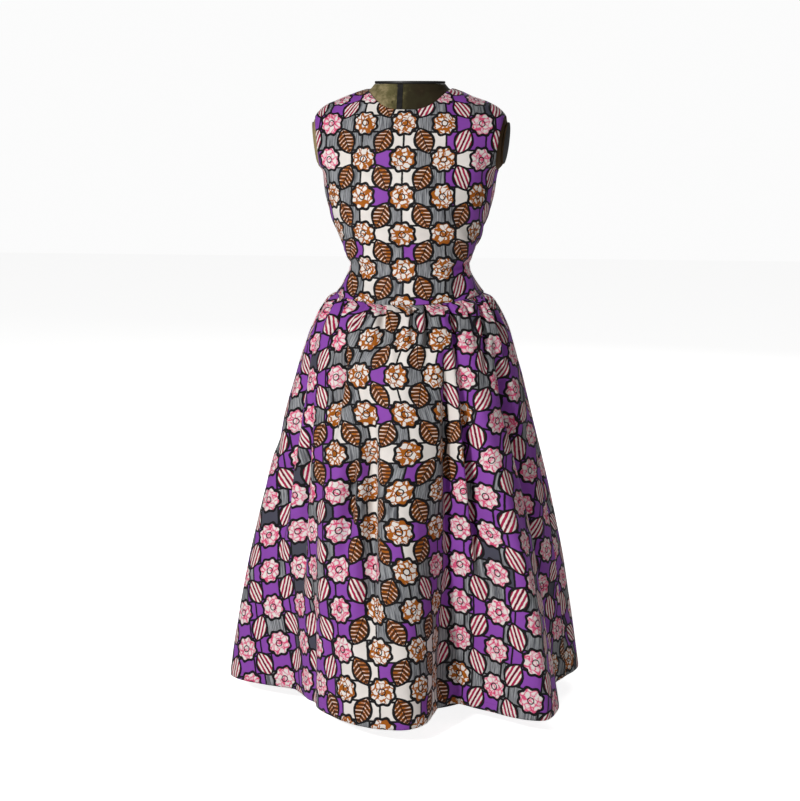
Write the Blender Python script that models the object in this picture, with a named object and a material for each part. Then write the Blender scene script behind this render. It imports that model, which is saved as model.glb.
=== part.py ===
# A sleeveless midi dress with a gathered skirt, on a limbless dress form.
# Metres, +Z up. The dress faces -Y and the stand's base rests on the floor at the origin.
import math

import bmesh
import bpy
from mathutils import Matrix, Vector

# Cloth and clearances
CLOTH = 0.0012              # wall of the printed cotton
GAP = 0.0003                # between pieces that touch or are sewn together
TAPE = 0.0007               # wall of the zip tape

# Heights above the floor
HEM_HEIGHT = 0.033
SEAM_FRONT_HEIGHT = 0.755   # waist seam at the centre front
SEAM_SIDE_HEIGHT = 0.767
SEAM_BACK_HEIGHT = 0.760
FORM_BOTTOM_HEIGHT = 0.548
UPPER_CHEST_HEIGHT = 1.086
FORM_SHOULDER_HEIGHT = 1.1370

# Plan outline of the neckline
NECK_HALF_WIDTH = 0.0765
NECK_FRONT = 0.0655
NECK_BACK = 0.0665
NECK_FRONT_SQUARENESS = 2.4

# Armhole: a plane cut, whose outward distance grows with height and towards the back
ARMHOLE_OUT = 0.1705
ARMHOLE_HEIGHT = 1.048
ARMHOLE_LEAN = 0.12
ARMHOLE_TURN = 0.09

# The form inside the bodice
EASE = 0.003                # from the bodice's outer face, to front and sides
EASE_BACK = 0.0072          # more at the back, for the zip
LIFT = 0.0018               # and lower at the shoulders

# Centre-back zip
ZIP_HALF_GAP = 0.0008
ZIP_TAPE_WIDTH = 0.0125
TAPE_DEPTH = CLOTH + 0.0005 # from the cloth's outer face to the tape
ZIP_TOP_ROW = 1             # rows of the bodice and skirt grids where the zip starts and ends
SLIDER_ROW = 2
ZIP_END_ROW = 6

# Zip slider, along X, out of the cloth and up
SLIDER_BODY = (0.0068, 0.0022, 0.0090)
SLIDER_NECK = (0.0009, 0.0040)              # along X and up
SLIDER_EYE = (0.0024, 0.0032, 0.0034)
SLIDER_BEVEL = 0.0006
EYE_OUT = 0.0022            # from the cloth's outer face to the hinge pin
EYE_HOLE_RADIUS = 0.00080

# Pull tab
PIN_RADIUS = 0.00050
PIN_LENGTH = 0.0052
PULL_ARM = (0.0010, 0.0011, 0.0046)
PULL_ARM_SIDE = 0.0021
PULL_ARM_DROP = 0.0016
TAB_TOP = 0.0034            # below the pin
TAB_FOOT = 0.0190
TAB_HALF_TOP = 0.0026
TAB_HALF_FOOT = 0.0031
TAB_THICK = 0.0010

# Plan of the body and skirt at each height: half width, depth forward, depth back, and how
# square the outline is, where 2 is an ellipse
SECTIONS = (
    # height, half width, front, back, squareness
    (1.1480, 0.0620, 0.0480, 0.0580, 2.00),
    (1.1395, 0.0759, 0.0510, 0.0630, 1.85),
    (1.1314, 0.1020, 0.0540, 0.0680, 1.70),
    (1.1205, 0.1300, 0.0585, 0.0740, 1.65),
    (1.1100, 0.1525, 0.0625, 0.0800, 1.70),
    (1.0990, 0.1680, 0.0670, 0.0850, 1.80),
    (1.0830, 0.1810, 0.0755, 0.0910, 1.95),
    (1.0480, 0.1890, 0.0920, 0.1010, 2.10),
    (1.0100, 0.1800, 0.1070, 0.1060, 2.20),
    (0.9920, 0.1642, 0.1135, 0.1070, 2.25),
    (0.9730, 0.1595, 0.1195, 0.1060, 2.30),
    (0.9280, 0.1500, 0.1260, 0.1010, 2.30),
    (0.8855, 0.1356, 0.1180, 0.0915, 2.25),
    (0.8405, 0.1189, 0.1010, 0.0800, 2.20),
    (0.8180, 0.1105, 0.0955, 0.0775, 2.20),
    (0.7960, 0.1185, 0.1000, 0.0820, 2.15),
    (0.7740, 0.1315, 0.1090, 0.0920, 2.10),
    (0.7510, 0.1490, 0.1230, 0.1070, 2.05),
    (0.7175, 0.1700, 0.1450, 0.1300, 2.05),
    (0.6840, 0.1865, 0.1640, 0.1500, 2.00),
    (0.6160, 0.2055, 0.1890, 0.1790, 2.00),
    (0.5250, 0.2230, 0.2130, 0.2070, 2.00),
    (0.3880, 0.2470, 0.2410, 0.2390, 2.00),
    (0.2430, 0.2680, 0.2680, 0.2670, 2.00),
    (0.0200, 0.2910, 0.2950, 0.2940, 2.00),
)
COLUMNS = {"half_width": 1, "front": 2, "back": 3, "squareness": 4}

# Ridges and valleys of the skirt round the hem. The angle is measured from the centre front
# towards the wearer's left, reach is out or in from the plain outline at the hem, start is how far
# down the skirt the fold begins, and drift is how far its top lies round from its foot.
FOLDS = (
    # angle, reach, start, drift
    (-166.0, 0.040, 0.10, 3.0),
    (-144.0, -0.045, 0.16, -2.0),
    (-121.0, 0.034, 0.05, 3.0),
    (-101.0, -0.026, 0.30, 2.0),
    (-80.0, 0.056, 0.00, -3.0),
    (-53.0, -0.048, 0.30, -2.0),
    (4.0, 0.042, 0.04, -3.0),
    (29.0, -0.084, 0.10, -4.0),
    (48.0, 0.078, 0.22, -4.0),
    (79.0, -0.004, 0.16, -8.0),
    (106.0, 0.042, 0.02, -3.0),
    (131.0, -0.050, 0.14, 3.0),
    (155.0, 0.036, 0.06, 2.0),
    (176.0, -0.034, 0.34, -2.0),
)
FOLD_FULL = 1.18            # how far down a fold would reach its full growth, past the hem
FOLD_POWER = 0.85           # below 1 the folds open early

# Narrower creases on top of those, each with where it starts, is deepest and ends down the skirt
CREASES = (
    # top angle, foot angle, half width in degrees, depth, start, deepest, end
    (31.0, 40.0, 3.4, -0.020, 0.06, 0.42, 0.86),
    (22.0, 26.0, 3.0, -0.008, 0.03, 0.22, 0.60),
    (62.0, 66.0, 4.0, -0.014, 0.02, 0.28, 0.90),
    (-12.0, -6.0, 4.0, -0.009, 0.12, 0.55, 0.92),
    (-38.0, -30.0, 5.0, -0.007, 0.20, 0.60, 0.95),
    (-64.0, -66.0, 5.0, -0.008, 0.10, 0.50, 0.95),
    (-112.0, -110.0, 4.0, -0.012, 0.04, 0.35, 0.85),
    (-133.0, -130.0, 4.0, -0.010, 0.05, 0.30, 0.80),
    (118.0, 121.0, 4.0, -0.013, 0.04, 0.38, 0.88),
    (142.0, 144.0, 3.5, -0.010, 0.06, 0.30, 0.75),
)

# Gathers under the waist seam
GATHERS = 17
GATHER_DEPTH = 0.0038
GATHER_DEEPEST = 0.055      # part of the way down the skirt
GATHER_END = 0.34
GATHER_SWAYS = (
    # times round, size, phase: these make the spacing uneven
    (3, 1.1, 0.6),
    (5, 0.8, 0.0),
)
FLAT_BACK_DEGREES = 11.0    # half the width at the centre back that the zip holds flat

# Grids of the cloth panels
SKIRT_STEPS = (0.0, 0.02, 0.05, 0.09, 0.14, 0.20, 0.28, 0.38, 0.49, 0.60, 0.71, 0.82, 0.92, 1.0)
SKIRT_FRONT_COLUMNS = 48
SKIRT_BACK_COLUMNS = 24
SKIRT_SPREAD = 1.15         # how soon down the skirt the columns reach their even places
BODICE_STEPS = (
    0.0, 0.018, 0.040, 0.068, 0.102, 0.145, 0.20, 0.27,
    0.36, 0.46, 0.57, 0.68, 0.79, 0.90, 1.0,
)
BODICE_FRONT_COLUMNS = 22
BODICE_BACK_COLUMNS = 11

# Dress form
FORM_NECK = (
    # height, half width, front, back
    (1.1400, 0.0705, 0.0475, 0.0560),
    (1.1470, 0.0650, 0.0460, 0.0535),
)
FORM_HIPS = (
    # height, half width, front, back
    (0.7480, 0.1290, 0.1060, 0.0960),
    (0.7080, 0.1420, 0.1130, 0.1080),
    (0.6580, 0.1540, 0.1190, 0.1160),
    (0.6080, 0.1590, 0.1200, 0.1180),
    (0.5680, 0.1560, 0.1170, 0.1150),
    (0.5510, 0.1480, 0.1100, 0.1080),
    (FORM_BOTTOM_HEIGHT, 0.1400, 0.1030, 0.1010),
)
FORM_SIDES = 32
FORM_RING_STEP = 0.024
FORM_SHOULDER_STEP = 0.007
FORM_HIP_SQUARENESS = 2.1
WAIST_EASE = 0.001          # more room from the upper chest down to the waist
WAIST_EASE_SPAN = 0.2
FORM_STUB = 0.0032          # how far the form's arm end stands out of the armhole
CAP_THICK = 0.0050
CAP_INSET = 0.0004
CAP_CHAMFER = 0.0012
PLATE_THICK = 0.0040
PLATE_HALF_HEIGHT = 0.0380
PLATE_HALF_DEPTH = 0.0315
PLATE_CENTRE_HEIGHT = 1.0410
PLATE_CENTRE_BACK = 0.0040

# Stand
BASE_RADIUS = 0.140
BASE_THICK = 0.016
BASE_CROWN = 0.026          # height of the base where the boss begins
BOSS_RADIUS = 0.030
BOSS_HEIGHT = 0.058
POLE_FOOT_HEIGHT = 0.010    # floor of the pole's hole in the base
POLE_RADIUS = 0.014
SOCKET_RADIUS = 0.045
SOCKET_SLEEVE_RADIUS = 0.022
SOCKET_HEIGHT = 0.060
SOCKET_FLANGE = 0.006
STAND_SIDES = 32

# Outline of the base from the hole in its boss to its underside
BASE_PROFILE = (
    # radius, height
    (POLE_RADIUS + GAP, BOSS_HEIGHT),
    (BOSS_RADIUS - 0.004, BOSS_HEIGHT),
    (BOSS_RADIUS, BOSS_HEIGHT - 0.006),
    (BOSS_RADIUS + 0.003, BASE_CROWN + 0.010),
    (BOSS_RADIUS + 0.016, BASE_CROWN),
    (BASE_RADIUS - 0.012, BASE_THICK),
    (BASE_RADIUS - 0.003, BASE_THICK - 0.003),
    (BASE_RADIUS, BASE_THICK - 0.009),
    (BASE_RADIUS, 0.002),
    (BASE_RADIUS - 0.002, 0.0),
)

# Outline of the socket under the form, with heights below its top
SOCKET_PROFILE = (
    # radius, drop
    (POLE_RADIUS + GAP, 0.0),
    (SOCKET_RADIUS, 0.0),
    (SOCKET_RADIUS, SOCKET_FLANGE),
    (SOCKET_SLEEVE_RADIUS + 0.003, SOCKET_FLANGE + 0.003),
    (SOCKET_SLEEVE_RADIUS, SOCKET_FLANGE + 0.008),
    (SOCKET_SLEEVE_RADIUS, SOCKET_HEIGHT),
    (POLE_RADIUS + GAP, SOCKET_HEIGHT),
)


def clear_scene():
    for item in list(bpy.data.objects):
        bpy.data.objects.remove(item, do_unlink=True)


def material(name, colour, roughness, metallic=0.0):
    made = bpy.data.materials.new(name)
    made.use_nodes = True
    shader = made.node_tree.nodes["Principled BSDF"]
    shader.inputs["Base Color"].default_value = (*colour, 1.0)
    shader.inputs["Roughness"].default_value = roughness
    shader.inputs["Metallic"].default_value = metallic
    made.diffuse_color = (*colour, 1.0)
    return made


def add_object(name, bm, finish, parent):
    mesh = bpy.data.meshes.new(name)
    bm.to_mesh(mesh)
    bm.free()
    mesh.materials.append(finish)
    mesh.shade_smooth()
    item = bpy.data.objects.new(name, mesh)
    bpy.context.scene.collection.objects.link(item)
    item.parent = parent
    return item


def smoothstep(value):
    value = min(max(value, 0.0), 1.0)
    return value * value * (3.0 - 2.0 * value)


def read_table(rows, column, height):
    """Smooth value of one column at a height, with the rows listed from the top down."""
    if height >= rows[0][0]:
        return rows[0][column]
    if height <= rows[-1][0]:
        return rows[-1][column]
    low = next(i for i in range(1, len(rows)) if rows[i][0] <= height)
    high = low - 1

    def slope(i):
        before, after = max(i - 1, 0), min(i + 1, len(rows) - 1)
        return (rows[after][column] - rows[before][column]) / (rows[after][0] - rows[before][0])

    span = rows[low][0] - rows[high][0]
    t = (height - rows[high][0]) / span
    start, end = rows[high][column], rows[low][column]
    return (
        start * (2 * t**3 - 3 * t**2 + 1)
        + slope(high) * span * (t**3 - 2 * t**2 + t)
        + end * (3 * t**2 - 2 * t**3)
        + slope(low) * span * (t**3 - t**2)
    )


def oval(angle, half_width, front, back, squareness):
    """Point of a plan outline. The angle runs from the centre front towards +X."""
    power = 2.0 / squareness
    sine, cosine = math.sin(angle), math.cos(angle)
    depth = front if cosine > 0 else back
    x = half_width * math.copysign(abs(sine) ** power, sine)
    y = -depth * math.copysign(abs(cosine) ** power, cosine)
    return x, y


def section_point(angle, height):
    sizes = [read_table(SECTIONS, COLUMNS[name], height) for name in COLUMNS]
    x, y = oval(angle, *sizes)
    return Vector((x, y, height))


def seam_height(angle):
    turn = math.cos(angle)
    end = SEAM_FRONT_HEIGHT if turn > 0 else SEAM_BACK_HEIGHT
    return SEAM_SIDE_HEIGHT + (end - SEAM_SIDE_HEIGHT) * turn * turn


def neck_height(angle):
    """Height where the bodice at an angle comes in to the neckline's outline."""
    low, high = UPPER_CHEST_HEIGHT, SECTIONS[0][0]
    front = math.cos(angle) > 0
    depth = NECK_FRONT if front else NECK_BACK
    squareness = NECK_FRONT_SQUARENESS if front else 2.0
    for _ in range(30):
        middle = (low + high) / 2
        point = section_point(angle, middle)
        across = (abs(point.x) / NECK_HALF_WIDTH) ** squareness
        along = (abs(point.y) / depth) ** squareness
        if across + along < 1.0:
            high = middle
        else:
            low = middle
    return low


def fold_reach(angle, down):
    """How far the large folds stand out or in at an angle, from 0 at the seam to 1 at the hem."""
    turn = math.degrees(angle)
    full = smoothstep(1.0 / FOLD_FULL) ** FOLD_POWER
    marks = []
    for foot, reach, start, drift in FOLDS:
        grown = smoothstep((down - start) / (FOLD_FULL - start)) ** FOLD_POWER / full
        marks.append((foot + drift * (1.0 - down), reach * grown))
    marks = [(marks[-1][0] - 360.0, marks[-1][1])] + marks + [(marks[0][0] + 360.0, marks[0][1])]
    if turn < marks[0][0]:
        turn += 360.0
    if turn > marks[-1][0]:
        turn -= 360.0
    for (left, first), (right, second) in zip(marks, marks[1:]):
        if left <= turn <= right:
            part = (1.0 - math.cos(math.pi * (turn - left) / (right - left))) / 2.0
            return first + (second - first) * part
    return 0.0


def crease_reach(angle, down):
    turn = math.degrees(angle)
    total = 0.0
    for top, foot, width, depth, start, deepest, end in CREASES:
        if start < down < end:
            rise = smoothstep((down - start) / (deepest - start))
            fall = smoothstep((end - down) / (end - deepest))
            off = (turn - top - (foot - top) * down) / width
            total += depth * rise * fall * math.exp(-off * off)
    return total


def back_window(angle):
    """0 at the centre back, where the zip lies flat, and 1 away from it."""
    off = (math.pi - abs(angle)) / math.radians(FLAT_BACK_DEGREES)
    return 1.0 - math.exp(-off * off)


def gather_reach(angle, down):
    rise = smoothstep(down / GATHER_DEEPEST)
    fall = smoothstep((GATHER_END - down) / (GATHER_END - GATHER_DEEPEST))
    sway = sum(size * math.sin(times * angle + phase) for times, size, phase in GATHER_SWAYS)
    wave = math.cos(GATHERS * angle + sway)
    return GATHER_DEPTH * rise * fall * wave * back_window(angle)


def skirt_point(angle, down):
    top = seam_height(angle) - GAP
    height = top + (HEM_HEIGHT - top) * down
    point = section_point(angle, height)
    reach = fold_reach(angle, down) * (1.0 - (1.0 - back_window(angle)) * (1.0 - down) ** 2)
    reach += crease_reach(angle, down) + gather_reach(angle, down)
    out = Vector((point.x, point.y, 0.0)).normalized()
    return point + out * reach


def even_angles(start, end, count, down):
    """Angles that share the cloth evenly round one level of the skirt."""
    fine = 360
    angles = [start + (end - start) * i / fine for i in range(fine + 1)]
    points = [skirt_point(angle, down) for angle in angles]
    lengths = [0.0]
    for a, b in zip(points, points[1:]):
        lengths.append(lengths[-1] + (b - a).length)
    even = []
    for i in range(count + 1):
        target = lengths[-1] * i / count
        j = next((k for k in range(1, fine + 1) if lengths[k] >= target - 1e-12), fine)
        part = (target - lengths[j - 1]) / (lengths[j] - lengths[j - 1])
        even.append(angles[j - 1] + (angles[j] - angles[j - 1]) * part)
    return even


def grid_normal(rows, i, j):
    """Outward normal of a grid of points, from the points beside it."""
    downward = rows[min(i + 1, len(rows) - 1)][j] - rows[max(i - 1, 0)][j]
    along = rows[i][min(j + 1, len(rows[i]) - 1)] - rows[i][max(j - 1, 0)]
    return downward.cross(along).normalized()


def wall_mesh(rows, thick, first=None, last=None):
    """A closed wall whose outer face is a grid of points, top row first, left to right.

    The first and last columns may be held on a cut plane, given as an axis and its value.
    """
    for row in rows:
        for index, edge in ((0, first), (-1, last)):
            if edge:
                row[index][edge[0]] = edge[1]
    height, width = len(rows), len(rows[0])
    bm = bmesh.new()
    outer = [[bm.verts.new(point) for point in row] for row in rows]
    inner = []
    for i in range(height):
        line = []
        for j in range(width):
            normal = grid_normal(rows, i, j)
            edge = first if j == 0 else last if j == width - 1 else None
            if edge:
                normal[edge[0]] = 0.0
                normal /= max(normal.length_squared, 0.3)
            line.append(bm.verts.new(rows[i][j] - normal * thick))
        inner.append(line)
    for i in range(height - 1):
        for j in range(width - 1):
            bm.faces.new((outer[i][j], outer[i + 1][j], outer[i + 1][j + 1], outer[i][j + 1]))
            bm.faces.new((inner[i][j], inner[i][j + 1], inner[i + 1][j + 1], inner[i + 1][j]))
    for i in range(height - 1):
        bm.faces.new((outer[i][0], inner[i][0], inner[i + 1][0], outer[i + 1][0]))
        bm.faces.new((outer[i][-1], outer[i + 1][-1], inner[i + 1][-1], inner[i][-1]))
    for j in range(width - 1):
        bm.faces.new((outer[0][j], outer[0][j + 1], inner[0][j + 1], inner[0][j]))
        bm.faces.new((outer[-1][j], inner[-1][j], inner[-1][j + 1], outer[-1][j + 1]))
    return bm


def armhole_normal(side):
    return Vector((side, -ARMHOLE_TURN, -ARMHOLE_LEAN)).normalized()


def cut_armhole(bm, side, out):
    """Cuts the arm's side off at the armhole plane and closes the cut."""
    bmesh.ops.bisect_plane(
        bm,
        geom=bm.verts[:] + bm.edges[:] + bm.faces[:],
        dist=1e-6,
        plane_co=Vector((side * out, 0.0, ARMHOLE_HEIGHT)),
        plane_no=armhole_normal(side),
        clear_outer=True,
    )
    open_edges = [edge for edge in bm.edges if edge.is_boundary]
    bmesh.ops.holes_fill(bm, edges=open_edges, sides=0)


def bodice_rows(start, end, columns):
    rows = []
    for down in BODICE_STEPS:
        row = []
        for j in range(columns + 1):
            angle = start + (end - start) * j / columns
            top = neck_height(angle)
            row.append(section_point(angle, top + (seam_height(angle) - top) * down))
        rows.append(row)
    return rows


def skirt_rows(start, end, columns):
    waist = even_angles(start, end, columns, 0.0)
    hem = even_angles(start, end, columns, 1.0)
    rows = []
    for down in SKIRT_STEPS:
        ease = smoothstep(down * SKIRT_SPREAD)
        rows.append(
            [skirt_point(top + (foot - top) * ease, down) for top, foot in zip(waist, hem)]
        )
    return rows


def strip_inside(rows, places, depth):
    """Rows of points at the given x near the centre back, a depth inside a panel's outer face."""
    strip = []
    for i, row in enumerate(rows):
        line = []
        for x in places:
            j = next(k for k in range(len(row) - 1) if (row[k].x - x) * (row[k + 1].x - x) <= 0)
            part = (x - row[j].x) / (row[j + 1].x - row[j].x)
            normal = grid_normal(rows, i, j).lerp(grid_normal(rows, i, j + 1), part)
            line.append(row[j].lerp(row[j + 1], part) - normal.normalized() * depth)
        strip.append(line)
    return strip


def zip_tape(name, side, bodice, skirt, finish, parent):
    near, far = side * (ZIP_HALF_GAP + GAP), side * ZIP_TAPE_WIDTH
    places = sorted((near, (near + far) / 2, far), reverse=True)
    upper = strip_inside(bodice, places, TAPE_DEPTH)[ZIP_TOP_ROW:]
    lower = strip_inside(skirt, places, TAPE_DEPTH)[1 : ZIP_END_ROW + 1]
    return add_object(name, wall_mesh(upper + lower, TAPE), finish, parent)


def make_zip(bodice_left, bodice_right, skirt_left, skirt_right, finish, tape_finish, parent):
    zip_tape("zip_tape_left", 1, bodice_left, skirt_left, tape_finish, parent)
    zip_tape("zip_tape_right", -1, bodice_right, skirt_right, tape_finish, parent)

    above, centre, below = (bodice_left[SLIDER_ROW + i][-1].copy() for i in (-1, 0, 1))
    centre.x = 0.0
    up = above - below
    up.x = 0.0
    up.normalize()
    right = Vector((1.0, 0.0, 0.0))
    out = up.cross(right).normalized()
    if out.y < 0:
        out = -out
    frame = Matrix((right, out, up)).transposed().to_4x4()

    # Slider: a body behind the tapes, a neck through the opening and an eye outside
    inner = TAPE_DEPTH + TAPE + GAP
    eye_inner = EYE_OUT - SLIDER_EYE[1] / 2
    body_centre = -inner - SLIDER_BODY[1] / 2
    neck_centre = (eye_inner + body_centre) / 2
    neck_size = (SLIDER_NECK[0], eye_inner - body_centre + SLIDER_BODY[1] / 2, SLIDER_NECK[1])
    body = block((0.0, body_centre, 0.0), SLIDER_BODY, SLIDER_BEVEL)
    neck = block((0.0, neck_centre, 0.0), neck_size, 0.0)
    eye = block((0.0, EYE_OUT, 0.0), SLIDER_EYE, SLIDER_BEVEL)
    hole = cylinder(EYE_HOLE_RADIUS, 2 * SLIDER_EYE[0], 16)
    bmesh.ops.translate(hole, vec=(0.0, EYE_OUT, 0.0), verts=hole.verts[:])
    slider = add_object("zip_slider", body, finish, parent)
    slider.matrix_world = Matrix.Translation(centre) @ frame
    combine(slider, (("neck", neck, "UNION"), ("eye", eye, "UNION"), ("hole", hole, "DIFFERENCE")))

    # Pull tab: a pin through the eye, two arms and a long drop-shaped tab
    pull = add_object("zip_pull", cylinder(PIN_RADIUS, PIN_LENGTH, 12), finish, parent)
    pull.matrix_world = Matrix.Translation(centre + out * EYE_OUT) @ frame
    arm_left = block((PULL_ARM_SIDE, 0.0, -PULL_ARM_DROP), PULL_ARM, 0.0)
    arm_right = block((-PULL_ARM_SIDE, 0.0, -PULL_ARM_DROP), PULL_ARM, 0.0)
    combine(
        pull,
        (("left", arm_left, "UNION"), ("right", arm_right, "UNION"), ("tab", tab_plate(), "UNION")),
    )


def combine(target, pieces):
    """Joins pieces to an object, or cuts them from it, in the object's own frame."""
    for tag, bm, kind in pieces:
        guide = add_object("guide_" + target.name + "_" + tag, bm, target.data.materials[0], None)
        guide.hide_render = True
        guide.display_type = "WIRE"
        guide.parent = target.parent
        guide.matrix_world = target.matrix_world.copy()
        join = target.modifiers.new(tag, "BOOLEAN")
        join.operation = kind
        join.solver = "EXACT"
        join.object = guide


def block(centre, size, bevel):
    bm = bmesh.new()
    bmesh.ops.create_cube(bm, size=1.0)
    bmesh.ops.scale(bm, vec=size, verts=bm.verts[:])
    bmesh.ops.translate(bm, vec=centre, verts=bm.verts[:])
    if bevel:
        bmesh.ops.bevel(
            bm,
            geom=bm.edges[:],
            offset=bevel,
            segments=1,
            profile=0.5,
            affect="EDGES",
            material=-1,
        )
    return bm


def cylinder(radius, length, sides):
    """A round bar along X, centred on the origin."""
    bm = bmesh.new()
    bmesh.ops.create_cone(
        bm, cap_ends=True, segments=sides, radius1=radius, radius2=radius, depth=length
    )
    bmesh.ops.rotate(bm, verts=bm.verts[:], matrix=Matrix.Rotation(math.pi / 2, 3, "Y"))
    return bm


def tab_plate():
    """The drop outline of the tab, narrow at the arms and round at the foot."""
    outline = [(-TAB_HALF_TOP, -TAB_TOP), (-TAB_HALF_FOOT, -TAB_FOOT)]
    for i in range(1, 8):
        turn = math.pi + math.pi * i / 8
        x, z = TAB_HALF_FOOT * math.cos(turn), TAB_HALF_FOOT * math.sin(turn)
        outline.append((x, z - TAB_FOOT))
    outline += [(TAB_HALF_FOOT, -TAB_FOOT), (TAB_HALF_TOP, -TAB_TOP)]
    bm = bmesh.new()
    face = bm.faces.new([bm.verts.new((x, -TAB_THICK / 2, z)) for x, z in outline])
    grown = bmesh.ops.extrude_face_region(bm, geom=[face])
    moved = [v for v in grown["geom"] if isinstance(v, bmesh.types.BMVert)]
    bmesh.ops.translate(bm, vec=(0.0, TAB_THICK, 0.0), verts=moved)
    bmesh.ops.recalc_face_normals(bm, faces=bm.faces[:])
    return bm


def form_ring(height):
    """Plan sizes of the dress form at a height."""
    if height > FORM_NECK[0][0] - 1e-6:
        row = next(r for r in FORM_NECK if abs(r[0] - height) < 1e-6)
        return (*row[1:], 2.0)
    for row in FORM_HIPS:
        if abs(row[0] - height) < 1e-6:
            return (*row[1:], FORM_HIP_SQUARENESS)
    sizes = [read_table(SECTIONS, COLUMNS[name], height + LIFT) for name in COLUMNS]
    ease = EASE + WAIST_EASE * smoothstep((UPPER_CHEST_HEIGHT - height) / WAIST_EASE_SPAN)
    return sizes[0] - ease, sizes[1] - ease, sizes[2] - EASE_BACK, sizes[3]


def make_form(linen, black, parent):
    heights = [row[0] for row in FORM_NECK[::-1]]
    height = FORM_SHOULDER_HEIGHT
    while height > FORM_HIPS[0][0] + FORM_RING_STEP * 0.4:
        heights.append(height)
        height -= FORM_SHOULDER_STEP if height > UPPER_CHEST_HEIGHT else FORM_RING_STEP
    heights += [row[0] for row in FORM_HIPS]
    bm = bmesh.new()
    rings = []
    for height in heights:
        sizes = form_ring(height)
        ring = []
        for i in range(FORM_SIDES):
            x, y = oval(2 * math.pi * i / FORM_SIDES, *sizes)
            ring.append(bm.verts.new((x, y, height)))
        rings.append(ring)
    for upper, lower in zip(rings, rings[1:]):
        for i in range(FORM_SIDES):
            j = (i + 1) % FORM_SIDES
            bm.faces.new((upper[i], lower[i], lower[j], upper[j]))
    bm.faces.new(rings[0])
    bm.faces.new(rings[-1][::-1])
    for side in (-1, 1):
        cut_armhole(bm, side, ARMHOLE_OUT + FORM_STUB)
    bmesh.ops.dissolve_degenerate(bm, dist=0.0004, edges=bm.edges[:])
    bmesh.ops.recalc_face_normals(bm, faces=bm.faces[:])
    add_object("form_torso", bm, linen, parent)

    add_object("form_neck_cap", neck_cap(), black, parent)

    for side, tag in ((1, "left"), (-1, "right")):
        add_object("form_arm_plate_" + tag, arm_plate(side), black, parent)


def neck_cap():
    """A flat oval disc with a small chamfer round its top."""
    top, half_width, front, back = FORM_NECK[-1]
    bottom = top + GAP
    levels = (
        (bottom, CAP_INSET),
        (bottom + CAP_THICK - CAP_CHAMFER, CAP_INSET),
        (bottom + CAP_THICK, CAP_INSET + CAP_CHAMFER),
    )
    bm = bmesh.new()
    rings = []
    for height, inset in levels:
        ring = []
        for i in range(FORM_SIDES):
            x, y = oval(
                2 * math.pi * i / FORM_SIDES, half_width - inset, front - inset, back - inset, 2.0
            )
            ring.append(bm.verts.new((x, y, height)))
        rings.append(ring)
    for lower, upper in zip(rings, rings[1:]):
        for i in range(FORM_SIDES):
            j = (i + 1) % FORM_SIDES
            bm.faces.new((lower[i], lower[j], upper[j], upper[i]))
    bm.faces.new(rings[0][::-1])
    bm.faces.new(rings[-1])
    bmesh.ops.recalc_face_normals(bm, faces=bm.faces[:])
    return bm


def arm_plate(side):
    """A flat oval plate on the cut end of the form's arm."""
    normal = armhole_normal(side)
    bm = bmesh.new()
    bmesh.ops.create_cone(
        bm, cap_ends=True, segments=28, radius1=1.0, radius2=0.96, depth=PLATE_THICK
    )
    bmesh.ops.scale(bm, vec=(PLATE_HALF_HEIGHT, PLATE_HALF_DEPTH, 1.0), verts=bm.verts[:])
    across = Vector((0.0, 1.0, 0.0))
    across = (across - normal * across.dot(normal)).normalized()
    upward = normal.cross(across)
    turn = Matrix((upward, across, normal)).transposed()
    bmesh.ops.rotate(bm, verts=bm.verts[:], matrix=turn)
    # The point of the cut plane at the plate's centre, then out by the gap and half the plate
    rise = PLATE_CENTRE_HEIGHT - ARMHOLE_HEIGHT
    out = ARMHOLE_OUT + FORM_STUB + ARMHOLE_LEAN * rise + ARMHOLE_TURN * PLATE_CENTRE_BACK
    place = Vector((side * out, PLATE_CENTRE_BACK, PLATE_CENTRE_HEIGHT))
    place += normal * (GAP + PLATE_THICK / 2)
    bmesh.ops.translate(bm, vec=place, verts=bm.verts[:])
    bmesh.ops.recalc_face_normals(bm, faces=bm.faces[:])
    return bm


def turned(profile):
    """A solid turned about Z from a profile of radius and height, listed from the top down."""
    bm = bmesh.new()
    rings = []
    for radius, height in profile:
        ring = []
        for i in range(STAND_SIDES):
            turn = 2 * math.pi * i / STAND_SIDES
            ring.append(bm.verts.new((radius * math.cos(turn), radius * math.sin(turn), height)))
        rings.append(ring)
    for upper, lower in zip(rings, rings[1:]):
        for i in range(STAND_SIDES):
            j = (i + 1) % STAND_SIDES
            bm.faces.new((upper[i], lower[i], lower[j], upper[j]))
    return bm, rings


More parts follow.
